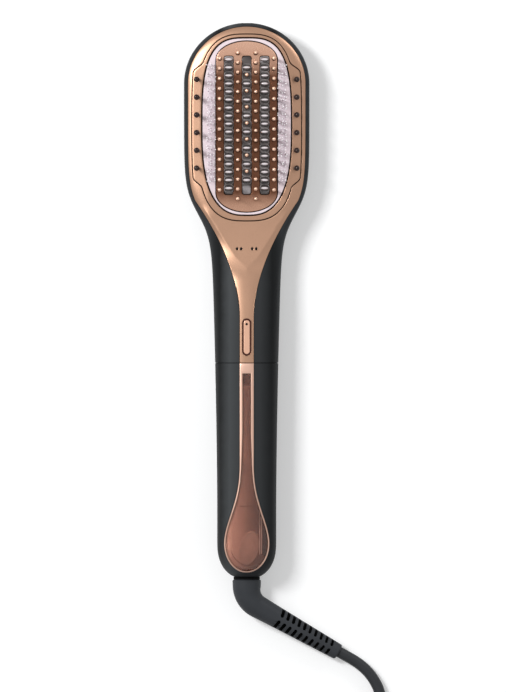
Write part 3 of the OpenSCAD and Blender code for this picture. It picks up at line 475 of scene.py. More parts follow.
# nylon: darkest just above the roots, painted shade among the strands, and near-white at the tips, a painted highlight
graded("nylon", 2, [
    (0.0, (0.80, 0.71, 0.76)), (0.08, (0.72, 0.63, 0.68)), (0.4, (0.78, 0.70, 0.74)), (0.78, (0.88, 0.81, 0.85)),
    (0.93, (0.94, 0.90, 0.92)), (1.0, (0.97, 0.95, 0.96))], 22, 32.2, rough=0.35)
thin_shadow("nylon", 0.8)
thin_shadow("clear_comb", 0.5)
# metal pins: dark along the stems, painted shade down among the pins, and lighter towards the balls' tops, a painted
# highlight
graded("metal_pins", 2, [
    (0.0, (0.22, 0.11, 0.065)), (0.8, (0.34, 0.18, 0.115)), (0.9, (0.54, 0.325, 0.23)), (1.0, (0.64, 0.41, 0.30))],
    23, 36.5, rough=0.28, metallic=0.9)
plastic("rose_gold", (0.378, 0.224, 0.150), 0.32, metallic=0.95, grain=0.08, vary=0.025, grain_scale=3500,
        edge_lift=0.2)
plastic("dark_pins", (0.022, 0.009, 0.006), 0.15, vary=0.1, specular=0.28)
plastic("bezel", (0.06, 0.018, 0.012), 0.4, vary=0.08, specular=0.15)
plastic("pale_plastic", (0.78, 0.67, 0.71), 0.32, vary=0.03, tone_scale=120)
plastic("brown_window", (0.82, 0.64, 0.56), 0.08, vary=0.02, transmission=0.98, ior=1.35, grain=0.02,
        rough_vary=0.02, specular=0.25)
plastic("clear_tank", (0.50, 0.32, 0.26), 0.25, vary=0.05, transmission=0.2, ior=1.45, coat=0.2)
plastic("lens", (0.006, 0.005, 0.005), 0.5, vary=0.1, specular=0.15)
plastic("aluminium", (0.70, 0.70, 0.72), 0.35, metallic=1.0, vary=0.06, grain=0.3, grain_scale=900)
plastic("ceramic", (0.78, 0.75, 0.68), 0.6, vary=0.05)
plastic("chassis", (0.05, 0.05, 0.055), 0.55, vary=0.08, grain=0.2)
plastic("board", (0.02, 0.14, 0.06), 0.35, vary=0.15, coat=0.4, tone_scale=300)
plastic("components", (0.02, 0.02, 0.02), 0.4, vary=0.2, tone_scale=500)
plastic("steel", (0.62, 0.62, 0.64), 0.3, metallic=1.0, vary=0.06, tone_scale=200)
plastic("silicone", (0.62, 0.60, 0.56), 0.5, vary=0.05, transmission=0.2)
plastic("wire", (0.30, 0.04, 0.02), 0.42, vary=0.08)
plastic("elbow_rubber", (0.040, 0.043, 0.048), 0.42, specular=0.08, vary=0.10, grain=0.3, grain_depth=0.03,
        grain_scale=1800)
plastic("cord_rubber", (0.026, 0.028, 0.031), 0.45, specular=0.2, vary=0.10, grain=0.25, grain_depth=0.02,
        grain_scale=1800)
# near-black brown for the bands in the head's gaps: painted shade
plastic("gap_shade", (0.022, 0.013, 0.010), 0.7, vary=0.1, specular=0.0)
# button: a lighter copy of the rose gold, painted light for the brighter look of its face
plastic("button", (0.60, 0.355, 0.25), 0.34, metallic=0.85, vary=0.03, grain=0.05)
plastic("rim_gold", (0.56, 0.36, 0.28), 0.36, metallic=0.85, vary=0.03, edge_lift=0.1)
# lighter rims round the teeth's feet: painted light standing for the clear teeth's refraction
plastic("cell_rim_light", (0.46, 0.42, 0.42), 0.25, vary=0.2, tone_scale=500, coat=0.3)
plastic("comb_end", (0.30, 0.28, 0.29), 0.2, vary=0.25, tone_scale=400, coat=0.3)
# lining under the window: light on the left, dark on the right, painted light and shade
graded("lining", 0, [
    (0.0, (0.92, 0.76, 0.70)), (0.12, (0.80, 0.58, 0.52)), (0.24, (0.46, 0.285, 0.24)), (0.42, (0.34, 0.195, 0.16)),
    (0.58, (0.21, 0.105, 0.08)), (0.72, (0.135, 0.055, 0.04)), (1.0, (0.10, 0.035, 0.022))], -12, 12, 0.12,
    rough=0.5, specular=0.1)
plastic("liner", (0.31, 0.185, 0.155), 0.5, vary=0.12, tone_scale=220, specular=0.1)
# lighter and darker copies of the liner: painted highlight on the ribs, painted shade on the step and at the window's
# top
plastic("liner_painted_light", (0.50, 0.32, 0.27), 0.4, vary=0.05, specular=0.1)
plastic("liner_painted_shade", (0.12, 0.05, 0.035), 0.4, vary=0.06, specular=0.1)
plastic("liner_arc", (0.26, 0.135, 0.11), 0.4, vary=0.1, specular=0.1)
plastic("pocket", (0.03, 0.003, 0.001), 0.3, vary=0.3, tone_scale=300, specular=0.1)
# near-black for the seam strip, the elbow's slot floors and the swivel gap: painted shade
plastic("gap", (0.006, 0.006, 0.006), 0.7, vary=0.1, specular=0.05)
plastic("strap", (0.02, 0.02, 0.022), 0.8, vary=0.2, grain=0.6, grain_scale=1500, grain_depth=0.15, sheen=0.3)
for part in frame["record"]["subparts"]:
    obj = NODES[part["node"]]
    obj.data.materials.clear()
    obj.data.materials.append(MATS[part["material_slot"]])
    shade(obj.data, False)


# ---- cord
def make_cord():
    points = RUN + COIL + TAIL
    data = bpy.data.curves.new("cord", "CURVE")
    data.dimensions = "3D"
    data.bevel_depth = CORD_D / 2 * MM
    data.bevel_resolution = 5
    data.resolution_u = 3
    data.use_fill_caps = True
    spline = data.splines.new("BEZIER")
    spline.bezier_points.add(len(points) - 1)
    for bp, p in zip(spline.bezier_points, points):
        bp.co = Vector(p) * MM
        bp.handle_left_type = bp.handle_right_type = "AUTO"
    obj = bpy.data.objects.new("cord", data)
    return link(obj, "swivel", "cord_rubber", ("cord_run", "cord_coil", "cord_tail"))


cord = make_cord()


# ---- outlines, in mm
def resample(poly, n, closed=True):
    """n points evenly along a line, from its start. An open line's last point is left out."""
    pts = list(poly) + ([poly[0]] if closed else [])
    total = [0.0]
    for p, q in zip(pts, pts[1:]):
        total.append(total[-1] + math.dist(p, q))
    out, j = [], 0
    for i in range(n):
        d = total[-1] * i / n
        while total[j + 1] < d:
            j += 1
        f = (d - total[j]) / max(1e-9, total[j + 1] - total[j])
        out.append((mix(pts[j][0], pts[j + 1][0], f), mix(pts[j][1], pts[j + 1][1], f)))
    return out


def relax(poly, times):
    for _ in range(times):
        n = len(poly)
        poly = [tuple((poly[i - 1][k] + 2 * poly[i][k] + poly[(i + 1) % n][k]) / 4 for k in (0, 1))
                for i in range(n)]
    return poly


def outline(width, low, high, n=720, times=0):
    """Closed line round a symmetric shape, anticlockwise from its lowest point."""
    mid, half = (low + high) / 2, (high - low) / 2
    ys = [mid + half * math.sin(math.pi * (i / 400 - 0.5)) for i in range(401)]
    right = [(width(y), y) for y in ys]
    return relax(resample(right + mirrored(right), n), times)


def mirrored(line):
    """The other side of a line, from its end back to its start."""
    return [(-x, y) for x, y in reversed(line)]


def offset(poly, d):
    """Moves a closed anticlockwise line inwards by d."""
    n, out = len(poly), []
    for i in range(n):
        (ax, ay), (bx, by) = poly[i - 1], poly[(i + 1) % n]
        tx, ty = bx - ax, by - ay
        size = math.hypot(tx, ty) or 1.0
        out.append((poly[i][0] - ty / size * d, poly[i][1] + tx / size * d))
    return out


def by_angle(poly, centre, angles):
    """The points of a closed line that the rays from centre meet."""
    polar = sorted((math.atan2(y - centre[1], x - centre[0]) % (2 * math.pi), x, y) for x, y in poly)
    polar = [(polar[-1][0] - 2 * math.pi, *polar[-1][1:])] + polar + [(polar[0][0] + 2 * math.pi, *polar[0][1:])]
    out = []
    for a in angles:
        a %= 2 * math.pi
        lo, hi = 0, len(polar) - 1
        while hi - lo > 1:
            m = (lo + hi) // 2
            lo, hi = (m, hi) if polar[m][0] <= a else (lo, m)
        (a0, x0, y0), (a1, x1, y1) = polar[lo], polar[hi]
        f = (a - a0) / max(1e-9, a1 - a0)
        out.append((mix(x0, x1, f), mix(y0, y1, f)))
    return out


def pill_outline(length, width, y=0.0, n=96):
    r, s = width / 2, (length - width) / 2
    arc = [(r * math.cos(math.pi * i / 40), r * math.sin(math.pi * i / 40)) for i in range(41)]
    return resample([(x, y + s + v) for x, v in arc] + [(-x, y - s - v) for x, v in arc], n)


def bar_outline(x0, x1, y0, y1, r, n=120):
    """Rectangle with rounded corners."""
    pts = []
    for cx, cy, a0 in ((x1 - r, y1 - r, 0), (x0 + r, y1 - r, 90), (x0 + r, y0 + r, 180), (x1 - r, y0 + r, 270)):
        pts += [oval(cx, cy, r, r, math.radians(a0 + 90 * i / 8)) for i in range(9)]
    return resample(pts, n)


ROUNDING = ((0.0, 1.0), (0.1, 0.56), (0.29, 0.29), (0.56, 0.1), (1.0, 0.0))    # inwards, down, as shares


def prism(b, poly, z0, z1, edge=0.3):
    """Closed plate with a rounded upper edge, added to a builder."""
    rings = [b.ring([(x, y, z0) for x, y in poly])]
    for inward, down in ROUNDING:
        rings.append(b.ring([(x, y, z1 - down * edge) for x, y in offset(poly, inward * edge)]))
    b.loft(rings)


def band(b, outer, inner, bottom, top, edge=0.3, across=3):
    """Closed ring between two matched lines. bottom and top are heights, or functions of x and y."""
    low = bottom if callable(bottom) else (lambda x, y: bottom)
    high = top if callable(top) else (lambda x, y: top)
    marks = [("o", 0.0, None)] + [("o", i, d) for i, d in ROUNDING]
    marks += [("m", k / (across + 1), 0.0) for k in range(1, across + 1)]
    marks += [("i", i, d) for i, d in reversed(ROUNDING)] + [("i", 0.0, None)]
    rings = []
    for kind, f, down in marks:
        pts = []
        for (ox, oy), (ix, iy) in zip(outer, inner):
            size = math.dist((ox, oy), (ix, iy)) or 1.0
            e = min(edge, size * 0.45) / size
            t = f * e if kind == "o" else 1 - f * e if kind == "i" else mix(e, 1 - e, f)
            x, y = mix(ox, ix, t), mix(oy, iy, t)
            pts.append((x, y, low(x, y) if down is None else high(x, y) - down * edge))
        rings.append(b.ring(pts))
    b.loft(rings, True)


def cut(obj, cutters, width, segments, angle):
    """Takes the cutters' shapes out of obj for good, then softens its edges."""
    for c in cutters:
        scene.collection.objects.link(c)
        m = obj.modifiers.new("cut", "BOOLEAN")
        m.operation, m.solver, m.object = "DIFFERENCE", "EXACT", c
    if obj.name not in scene.collection.objects:
        scene.collection.objects.link(obj)
    bpy.context.view_layer.update()
    done = bpy.data.meshes.new_from_object(obj.evaluated_get(bpy.context.evaluated_depsgraph_get()))
    obj.modifiers.clear()
    obj.data = done
    for c in cutters:
        bpy.data.objects.remove(c)
    shade(obj.data)
    soften(obj, width, segments, angle)


def block(name, poly, z0, z1):
    """Cutter with a flat outline."""
    b = Builder()
    prism(b, poly, z0, z1, 0.01)
    return b.make(name)


def box_line(half_w, low, high):
    return [(half_w, low), (half_w, high), (-half_w, high), (-half_w, low)]


def turned(name, at, profile, sides):
    """Cutter turned round +Z."""
    b = Builder()
    b.lathe(at, profile, sides)
    return b.make(name)


# ---- black shells
def spaced(low, high, n):
    return [mix(low, high, i / n) for i in range(n + 1)]


UPPER_LOW, LOWER_HIGH = SEAM_Y + SEAM_GAP / 2, SEAM_Y - SEAM_GAP / 2
UPPER_YS = spaced(UPPER_LOW, HEAD_CY, 84)[:-1] + [HEAD_CY + HEAD_B * v for v in sines(range(0, 90, 3))] + [HEAD_Y]
LOWER_YS = [TAIL_Y] + [TAIL_CY - TAIL_ROUND * v for v in sines(range(78, -1, -6))]
LOWER_YS += spaced(TAIL_CY, LOWER_HIGH, 64)[1:]
SCREW_YS = (-8.2, 18.6)
PORT_HALF_W, PORT_Z = 8, (3.6, 9.0)    # where the leads and the tube pass the seam
NOTCH_HALF_W = 3.95                    # room for the frame's strip at the seam


def shell_rings(b, ys, start, stop, count, inset, low, high, to_ys=None):
    """Rings between two edges of the skin, each edge an angle for every station."""
    ends, rings = to_ys or ys, []
    for k in range(count + 1):
        f = k / count
        side = []
        for i, y in enumerate(ys):
            p = skin_point(mix(y, ends[i], f), mix(start[i], stop[i], f), inset)
            side.append(Vector((p.x, min(high, max(low, p.y)), p.z)))
        rings.append(b.ring(side + [Vector((-p.x, p.y, p.z)) for p in reversed(side)]))
    return rings


def close_shell(b, rings):
    """Bridges the rings and closes both ends with quads from side to side."""
    for p, q in zip(rings, rings[1:]):
        b.bridge(p, q)
    for ring, flip in ((rings[0], True), (rings[-1], False)):
        m = len(ring)
        for i in range(m // 2 - 1):
            quad = (ring[i], ring[i + 1], ring[m - 2 - i], ring[m - 1 - i])
            b.f.append(quad[::-1] if flip else quad)


def flat_edge(ys, z, inset=0.0):
    return [angle_at_z(y, z, inset) for y in ys]


def make_rear_shell():
    b = Builder()
    ys, zero = UPPER_YS, [0.0] * len(UPPER_YS)
    rings = shell_rings(b, ys, flat_edge(ys, 0), zero, 16, 0, UPPER_LOW, HEAD_Y)
    rings += shell_rings(b, ys, zero, flat_edge(ys, FLOOR_Z, WALL), 8, WALL, UPPER_LOW + WALL, HEAD_Y)
    close_shell(b, rings)
    obj = b.make("shell_back")
    cutters = [turned("bore%d" % i, (0, y, -1), [(2.7, 0), (2.7, 2.1), (1.2, 2.1), (1.2, 10)], 40)
               for i, y in enumerate(SCREW_YS)]
    cutters.append(block("port", box_line(PORT_HALF_W, -37, -30), *PORT_Z))
    cut(obj, cutters, 0.16, 2, 50)
    link(obj, "body", "black_shell", ("rear_shell",))


def make_front_shell():
    b = Builder()
    ys, zero, gap = UPPER_YS, [0.0] * len(UPPER_YS), 0.15
    open_angle = math.acos((1 - (RIM_WIDTH - gap) / HEAD_A) ** 3)
    opening = [open_angle if y > HEAD_CY else angle_at_x(y, frame_w(y) + gap) for y in ys]
    inner = [math.acos(0.9995 ** 3) if y > HEAD_CY
             else angle_at_x(y, min(side_w(y, WALL) - 0.2, frame_w(y) + gap), WALL) for y in ys]
    rings = shell_rings(b, ys, zero, opening, 14, 0, UPPER_LOW, HEAD_Y)
    rings += shell_rings(b, ys, inner, zero, 7, WALL, UPPER_LOW + WALL, HEAD_Y)
    b.loft(rings, True)
    obj = b.make("shell_front")
    cut(obj, [block("notch", box_line(NOTCH_HALF_W, UPPER_LOW - 1, UPPER_LOW + 3), 29.6, 38)], 0.14, 2, 50)
    link(obj, "body", "black_shell", ("front_shell",))


def make_handle_base():
    b = Builder()
    ys = LOWER_YS
    rings = shell_rings(b, ys, flat_edge(ys, 0), flat_edge(ys, DECK_Z), 20, 0, TAIL_Y, LOWER_HIGH)
    rings += shell_rings(b, ys, flat_edge(ys, DECK_Z, WALL), flat_edge(ys, FLOOR_Z, WALL), 12, WALL, TAIL_Y,
                         LOWER_HIGH - WALL)
    close_shell(b, rings)
    obj = b.make("handle_back")
    neck = turned("neck_hole", (0, 0, 0), [(6.42, 0), (6.42, 5)], 56)
    neck.data.transform(turn_to_y(Vector((0, TAIL_Y - 1, SWIVEL_Z))))
    cut(obj, [block("port", box_line(PORT_HALF_W, -37.5, -33), *PORT_Z), neck], 0.16, 2, 50)
    link(obj, "body", "black_shell", ("handle_base",))


def make_tank_cover():
    b = Builder()
    ys, gap = LOWER_YS, 0.15
    trim_ys = [mix(TAIL_CY, TRIM_END, (TAIL_CY - y) / TAIL_ROUND) if y < TAIL_CY else y for y in ys]
    open_ys = [mix(TAIL_CY, y, 1 + gap / (TAIL_CY - TRIM_END)) if y < TAIL_CY else y for y in trim_ys]
    inner_ys = [TAIL_CY + (y - TAIL_CY) / (1 - WALL / TAIL_ROUND) if y < TAIL_CY else y for y in open_ys]
    opening = [angle_at_x(y, trim_w(y) + gap) for y in open_ys]
    inner = [angle_at_x(y, min(side_w(y, WALL) - 0.3, trim_w(o) + gap), WALL) for y, o in zip(inner_ys, open_ys)]
    rings = shell_rings(b, ys, flat_edge(ys, DECK_Z + 0.2), opening, 12, 0, TAIL_Y, LOWER_HIGH, open_ys)
    rings += shell_rings(b, inner_ys, inner, flat_edge(inner_ys, DECK_Z + 0.2, WALL), 6, WALL, TAIL_Y,
                         LOWER_HIGH - WALL)
    b.loft(rings, True)
    obj = b.make("tank_front")
    cut(obj, [block("notch", box_line(NOTCH_HALF_W, LOWER_HIGH - 3, LOWER_HIGH + 1), 29.1, 38)], 0.14, 2, 50)
    link(obj, "tank", "black_shell", ("tank_cover",))


def make_seam_shade():
    """Dark strip that fills the seam across the handle, a little below the skin: painted shade of the seam."""
    b = Builder()
    y, n = (UPPER_LOW + LOWER_HIGH) / 2, 96
    rings = []
    for dy, inset in ((0.13, 0.45), (0.13, 2.2), (-0.13, 2.2), (-0.13, 0.45)):
        pts = []
        for k in range(n):
            th = 2 * math.pi * (k + 0.5) / n
            q = th if th <= math.pi else th - 2 * math.pi
            mirror = abs(q) > math.pi / 2
            p = skin_point(y, math.copysign(math.pi - abs(q), q) if mirror else q, inset)
            pts.append((-p.x if mirror else p.x, y + dy, max(inset, p.z)))
        rings.append(b.ring(pts))
    b.loft(rings, True)
    link(b.make("seam_shade"), "body", "chassis", (), "gap")


def turn_to_y(at):
    """Matrix in metres that lays a turned solid's +Z along +Y, from a point in mm."""
    return Matrix.Translation(at * MM) @ Matrix.Rotation(-math.pi / 2, 4, "X")


# ---- rose-gold frame
PANEL = ((45.2, 20.4), (23.0, 5.9), (17.5, 0.0))    # edge of the neck's flat panel: y, half width


def panel_w(y):
    if y >= PANEL[0][0]:
        return frame_w(y) - 2.0
    for (y1, w1), (y0, w0) in zip(PANEL, PANEL[1:]):
        if y >= y0:
            return mix(w0, w1, (y - y0) / (y1 - y0))
    return 0.0


def frame_z(x, y):
    """The frame's front: the domed head, a flat panel with chamfers on the neck, a crowned strip below."""
    skin_z = front_z(x, y)
    share = min(clamp01((y - 10.0) / 7.5), clamp01((52.0 - y) / 8.0))
    if share <= 0:
        return skin_z
    w, p = frame_w(y), panel_w(y)
    flat, edge_z = front_z(0, y) - 0.35, front_z(w, y)
    z = flat - (flat - edge_z) * clamp01((abs(x) - p) / max(0.5, w - p)) ** 1.12
    return mix(skin_z, z, share * share * (3 - 2 * share))


def ring_z(x, y):
    """The ring plate's front, which falls off a little towards both sides."""
    level_half_w, fall = 21.0, 0.10
    return min(RING_TOP + 0.3 - fall * max(0.0, abs(x) - level_half_w), front_z(x, y) - 0.2)


def ear_w(y):
    """Half width of the ring plate in the look: the oval, swelling smoothly into bowed ears."""
    plain = RING_A * arch((y - RING_CY) / RING_REACH, 3)
    ear = 29.75 - abs((y - 94.5) / 31.5) ** 3
    f = clamp01((min(128.6 - y, y - 60.6)) / 5.4)
    return max(plain, mix(plain, ear, f * f * (3 - 2 * f)))


RING_LINE = outline(ear_w, RING_CY - RING_REACH, RING_CY + RING_REACH, 900, 6)
GAP_LINE = outline(gap_w, FIELD_Y - GAP_REACH, FIELD_Y + GAP_REACH, 900, 4)
RING_MID = (0.0, FIELD_Y)


def make_frame():
    y_cut, columns, across, neck_rows = 38.0, 72, 9, 150
    w_cut = frame_w(y_cut)
    cut_line = [(mix(-w_cut, w_cut, k / columns), y_cut) for k in range(columns + 1)]
    side = [(frame_w(y), y) for y in spaced(y_cut, HEAD_CY, 300)]
    side += [oval(0, HEAD_CY, HEAD_A - RIM_WIDTH, HEAD_B - RIM_WIDTH, math.radians(a)) for a in range(1, 91)]
    outer = cut_line + resample(side + mirrored(side[:-1]), 300, False)[1:]
    angles = [math.atan2(y - RING_MID[1], x - RING_MID[0]) for x, y in outer]
    inner = by_angle(offset(RING_LINE, -0.26), RING_MID, angles)
    b = Builder()
    n = len(outer)
    top, low = [], []
    for m in range(across + 1):
        t = m / across
        pts = [(mix(i[0], o[0], t), mix(i[1], o[1], t)) for i, o in zip(inner, outer)]
        top.append(b.over(pts, frame_z))
        low.append(b.over(pts, frame_z, -FRAME_T))
    for p, q in zip(top, top[1:]):
        b.bridge(p, q)
    for p, q in zip(low, low[1:]):
        b.bridge(q, p)
    b.bridge(low[0], top[0])
    t_prev, l_prev = top[-1][:columns + 1], low[-1][:columns + 1]
    left, right = [(t_prev[0], l_prev[0])], [(t_prev[-1], l_prev[-1])]
    for r in range(1, neck_rows + 1):
        y = mix(y_cut, UPPER_LOW, r / neck_rows)
        row = [(mix(-frame_w(y), frame_w(y), k / columns), y) for k in range(columns + 1)]
        t_row, l_row = b.over(row, frame_z), b.over(row, frame_z, -FRAME_T)
        b.bridge(t_row, t_prev, False)
        b.bridge(l_prev, l_row, False)
        left.append((t_row[0], l_row[0]))
        right.append((t_row[-1], l_row[-1]))
        t_prev, l_prev = t_row, l_row
    for edge in (left, right):
        for (a, c), (d, e) in zip(edge, edge[1:]):
            b.f.append((a, c, e, d))
    b.bridge(t_prev, l_prev, False)
    ends = list(range(columns, n)) + [0]
    for i, j in zip(ends, ends[1:]):
        b.f.append((top[-1][i], top[-1][j], low[-1][j], low[-1][i]))
    obj = b.make("frame_front")
    cutters = [turned("lens_hole%d" % i, (x, LENS_Y, 10), [(0.72, 0), (0.72, 30)], 24)
               for i, x in enumerate(LENS_XS)]
    cut(obj, [block("button_hole", pill_outline(20.0, 4.9, BUTTON_Y), 20, 40)] + cutters, 0.16, 3, 45)
    link(obj, "body", "rose_gold", ("front_frame",))


FULL_TURN = turns(420)


def around(poly, inset=0.0):
    return by_angle(offset(poly, inset) if inset else poly, RING_MID, FULL_TURN)


def plate_outline(grow=0.0):
    w, e, s = PLATE_HALF_W + grow, PLATE_CORNER + grow, PLATE_HALF_L - PLATE_CORNER
    corner = sines(range(3, 91, 3))
    right = [(w * arch(v, 2), FIELD_Y - s - e * v) for v in reversed(corner)]
    right += [(w, FIELD_Y + v) for v in spaced(-s, s, 60)]
    right += [(w * arch(v, 2), FIELD_Y + s + e * v) for v in corner]
    return resample(right + mirrored(right[1:-1]), 720)


def make_ring():
    b = Builder()
    band(b, around(RING_LINE, 0.18), around(GAP_LINE), lambda x, y: ring_z(x, y) - RING_T + 0.3, ring_z, 0.2, 5)
    link(b.make("ring_plate"), "body", "rose_gold", ("pin_ring",))
    # dark bands in the gaps round the carrier's face, between frame and ring plate and round the hot plate: painted
    # shade of those gaps
    b = Builder()
    band(b, around(GAP_LINE, 0.03), around(GAP_LINE, 0.76), RING_TOP - 1.3, RING_TOP - 0.5, 0.1, 2)
    band(b, around(RING_LINE, -0.30), around(RING_LINE, 0.16), lambda x, y: ring_z(x, y) - 1.3,
         lambda x, y: min(ring_z(x, y) + 0.35, front_z(x, y) - 0.12), 0.05, 1)
    band(b, around(plate_outline(0.44)), around(plate_outline(0.02)), ISLAND_TOP - 1.2, ISLAND_TOP - 0.05, 0.08, 1)
    link(b.make("field_gap_shades"), "body", "chassis", (), "gap_shade")


def make_carrier():
    b = Builder()
    rim, island, hole = around(RING_LINE, 0.6), around(GAP_LINE, 0.74), around(plate_outline(0.46))
    profile = [(rim, rim, 0, CARRIER_BOTTOM), (rim, rim, 0, RING_TOP - RING_T - 0.05),
               (island, island, 0, RING_TOP - RING_T - 0.05)]
    profile += [(island, hole, inward * 0.2, ISLAND_TOP - down * 0.2) for inward, down in ROUNDING]
    profile += [(island, hole, -k / 5, ISLAND_TOP) for k in range(1, 5)]
    profile += [(hole, island, inward * 0.15, ISLAND_TOP - down * 0.15) for inward, down in reversed(ROUNDING)]
    profile += [(hole, hole, 0, CARRIER_BOTTOM)]
    rings = []
    for start, end, d, z in profile:
        pts = []
        for p, q in zip(start, end):
            size = math.dist(p, q) or 1.0
            f = -d if d < 0 else d / size
            pts.append((mix(p[0], q[0], f), mix(p[1], q[1], f), z))
        rings.append(b.ring(pts))
    b.loft(rings, True)
    link(b.make("carrier"), "body", "pale_plastic", ("bristle_carrier",))


SLOT_X, SLOT_FROM, SLOT_TO, SLOT_W = 9.7, 57.0, 132.0, 5.2


def make_plate():
    """Flat curve with three slots, turned into a bevelled plate."""
    data = bpy.data.curves.new("hot_plate", "CURVE")
    data.dimensions = "2D"
    data.fill_mode = "BOTH"
    edge = 0.35
    half, low, high = SLOT_W / 2 + edge, SLOT_FROM - edge, SLOT_TO + edge
    lines = [offset(plate_outline(0.0), edge)]
    lines += [bar_outline(x - half, x + half, low, high, 1.4, 220) for x in (-SLOT_X, 0.0, SLOT_X)]
    for line in lines:
        spline = data.splines.new("POLY")
        spline.points.add(len(line) - 1)
        spline.use_cyclic_u = True
        for sp, (x, y) in zip(spline.points, line):
            sp.co = (x * MM, y * MM, 0.0, 1.0)
    data.extrude = (PLATE_TOP - PLATE_BOTTOM) / 2 * MM - edge * MM
    data.bevel_depth = edge * MM
    data.bevel_resolution = 3
    curve = bpy.data.objects.new("hot_plate_curve", data)
    scene.collection.objects.link(curve)
    bpy.context.view_layer.update()
    mesh = bpy.data.meshes.new_from_object(curve.evaluated_get(bpy.context.evaluated_depsgraph_get()))
    bpy.data.objects.remove(curve)
    bm = bmesh.new()
    bm.from_mesh(mesh)
    bmesh.ops.translate(bm, verts=bm.verts, vec=(0, 0, (PLATE_TOP + PLATE_BOTTOM) / 2 * MM))
    bmesh.ops.remove_doubles(bm, verts=bm.verts, dist=1e-7)
    bmesh.ops.recalc_face_normals(bm, faces=bm.faces)
    bm.to_mesh(mesh)
    bm.free()
    shade(mesh)
    obj = bpy.data.objects.new("hot_plate", mesh)
    w = obj.modifiers.new("normals", "WEIGHTED_NORMAL")
    w.weight = 60
    link(obj, "body", "copper_plate", ("heater_plate",))


def make_metal_pins():
    ball_r, ball_z = 1.1, 12.5
    profile = [(1.25, 0.0), (1.25, 0.25), (1.1, 0.42), (0.84, 0.5), (0.80, 0.9), (0.66, 10.9), (0.64, 11.5)]
    profile += ball(ball_r, ball_z, 9, -0.8)
    sets = {"pins_outer_left": (-14.65, rows(14, 5.47, 1.25)), "pins_outer_right": (14.65, rows(14, 5.47, 1.25)),
            "pins_inner_left": (-4.85, rows(16, 5.26, 0.35)), "pins_inner_right": (4.85, rows(16, 5.26, 0.35)),
            "pins_centre": (0.0, rows(7, 8.7, 1.8))}
    for node, (x, ys) in sets.items():
        b = Builder()
        for y in ys:
            b.lathe((x, y, PLATE_TOP - 0.05 if x else PLATE_TOP - 0.45), profile if x
                    else [(r, h + 0.4 if h > 0.45 else h) for r, h in profile], 18)
        link(b.make("ball_" + node), "body", "metal_pins", (node,))


def make_guard_pins():
    b = Builder()
    foot_x, lean = 26.3, 0.8 / 7.7
    profile = [(0.95, 0), (0.95, 0.35), (0.8, 0.6), (0.7, 6.2), (0.68, 6.8)] + ball(1.55, 7.8, 10, -0.87)
    for y in rows(6, 9.6, 1.4):
        for s in (-1, 1):
            b.lathe((s * foot_x, y, RING_TOP - 0.3), profile, 22, (s * lean, 0))
    link(b.make("guard_stems"), "body", "dark_pins", ("guard_pins",))


def lens_outline(x, y, half_w, half_t):
    """Long oval with slim ends."""
    return [(x + half_w * signed(math.cos(a), 0.9), y + half_t * signed(math.sin(a), 1.2)) for a in turns(36)]


# share of the height, length and thickness of a comb tooth
TOOTH = ((0.0, 4.5, 2.7), (0.35, 4.4, 2.25), (0.7, 4.25, 1.75), (0.88, 4.1, 1.45), (0.95, 3.9, 1.2), (0.98, 3.55, 0.9),
         (0.995, 2.9, 0.55), (1.0, 1.9, 0.2))


def tooth(b, x, y, z0, height):
    """Comb tooth that narrows upwards to a softly crowned crest."""
    rings = [b.ring([(px, py, z0 + height * f) for px, py in lens_outline(x, y, w / 2, t / 2)]) for f, w, t in TOOTH]
    b.loft(rings)


COMB_SHIFT, COMB_PITCH, STRIP_HALF_W = 1.35, 4.35, 2.5


def make_combs():
    """Three strips of teeth, a rim round each tooth's foot, coloured light as painted light for the clear teeth's
    refraction, and clear blocks at the strips' ends.
    """
    cells, ends = Builder(), Builder()
    side_rows, foot = rows(17, COMB_PITCH, COMB_SHIFT), PLATE_TOP - 0.6
    for node, x, ys in (("comb_strip_left", -SLOT_X, side_rows),
                        ("comb_strip_centre", 0.0, rows(8, 2 * COMB_PITCH, COMB_SHIFT)),
                        ("comb_strip_right", SLOT_X, side_rows)):
        b = Builder()
        x0, x1 = x - STRIP_HALF_W, x + STRIP_HALF_W
        prism(b, bar_outline(x0, x1, SLOT_FROM + 0.1, SLOT_TO - 0.1, 1.3, 160), PLATE_BOTTOM, PLATE_TOP - 0.4, 0.25)
        for y in ys:
            tooth(b, x, y, PLATE_TOP - 0.5, 12.2)
        for y in (ys if x else ys + rows(7, 2 * COMB_PITCH, COMB_SHIFT)):
            line = bar_outline(x0, x1, max(SLOT_FROM + 0.15, y - 2.1), min(SLOT_TO - 0.15, y + 2.1), 1.25, 72)
            band(cells, line, offset(line, 0.24), foot, PLATE_TOP + 0.25, 0.08, 1)
        link(b.make("clear_" + node), "body", "clear_comb", (node,))
    for x in (-SLOT_X, SLOT_X):
        prism(ends, bar_outline(x - 2.2, x + 2.2, SLOT_TO - 3.6, SLOT_TO - 0.3, 1.0, 60), foot, PLATE_TOP + 0.2, 0.2)
    prism(ends, bar_outline(-2.2, 2.2, SLOT_FROM + 0.3, SLOT_FROM + 5.0, 1.1, 60), foot, PLATE_TOP, 0.2)
    link(cells.make("comb_cells"), "body", "clear_comb", (), "cell_rim_light")
    link(ends.make("comb_ends"), "body", "clear_comb", (), "comb_end")


def hash01(*values):
    """Repeatable number from 0 to 1."""
    v = math.sin(sum(p * q for p, q in zip(values, (12.9898, 78.233, 37.719, 9.151)))) * 43758.5453
    return v - math.floor(v)


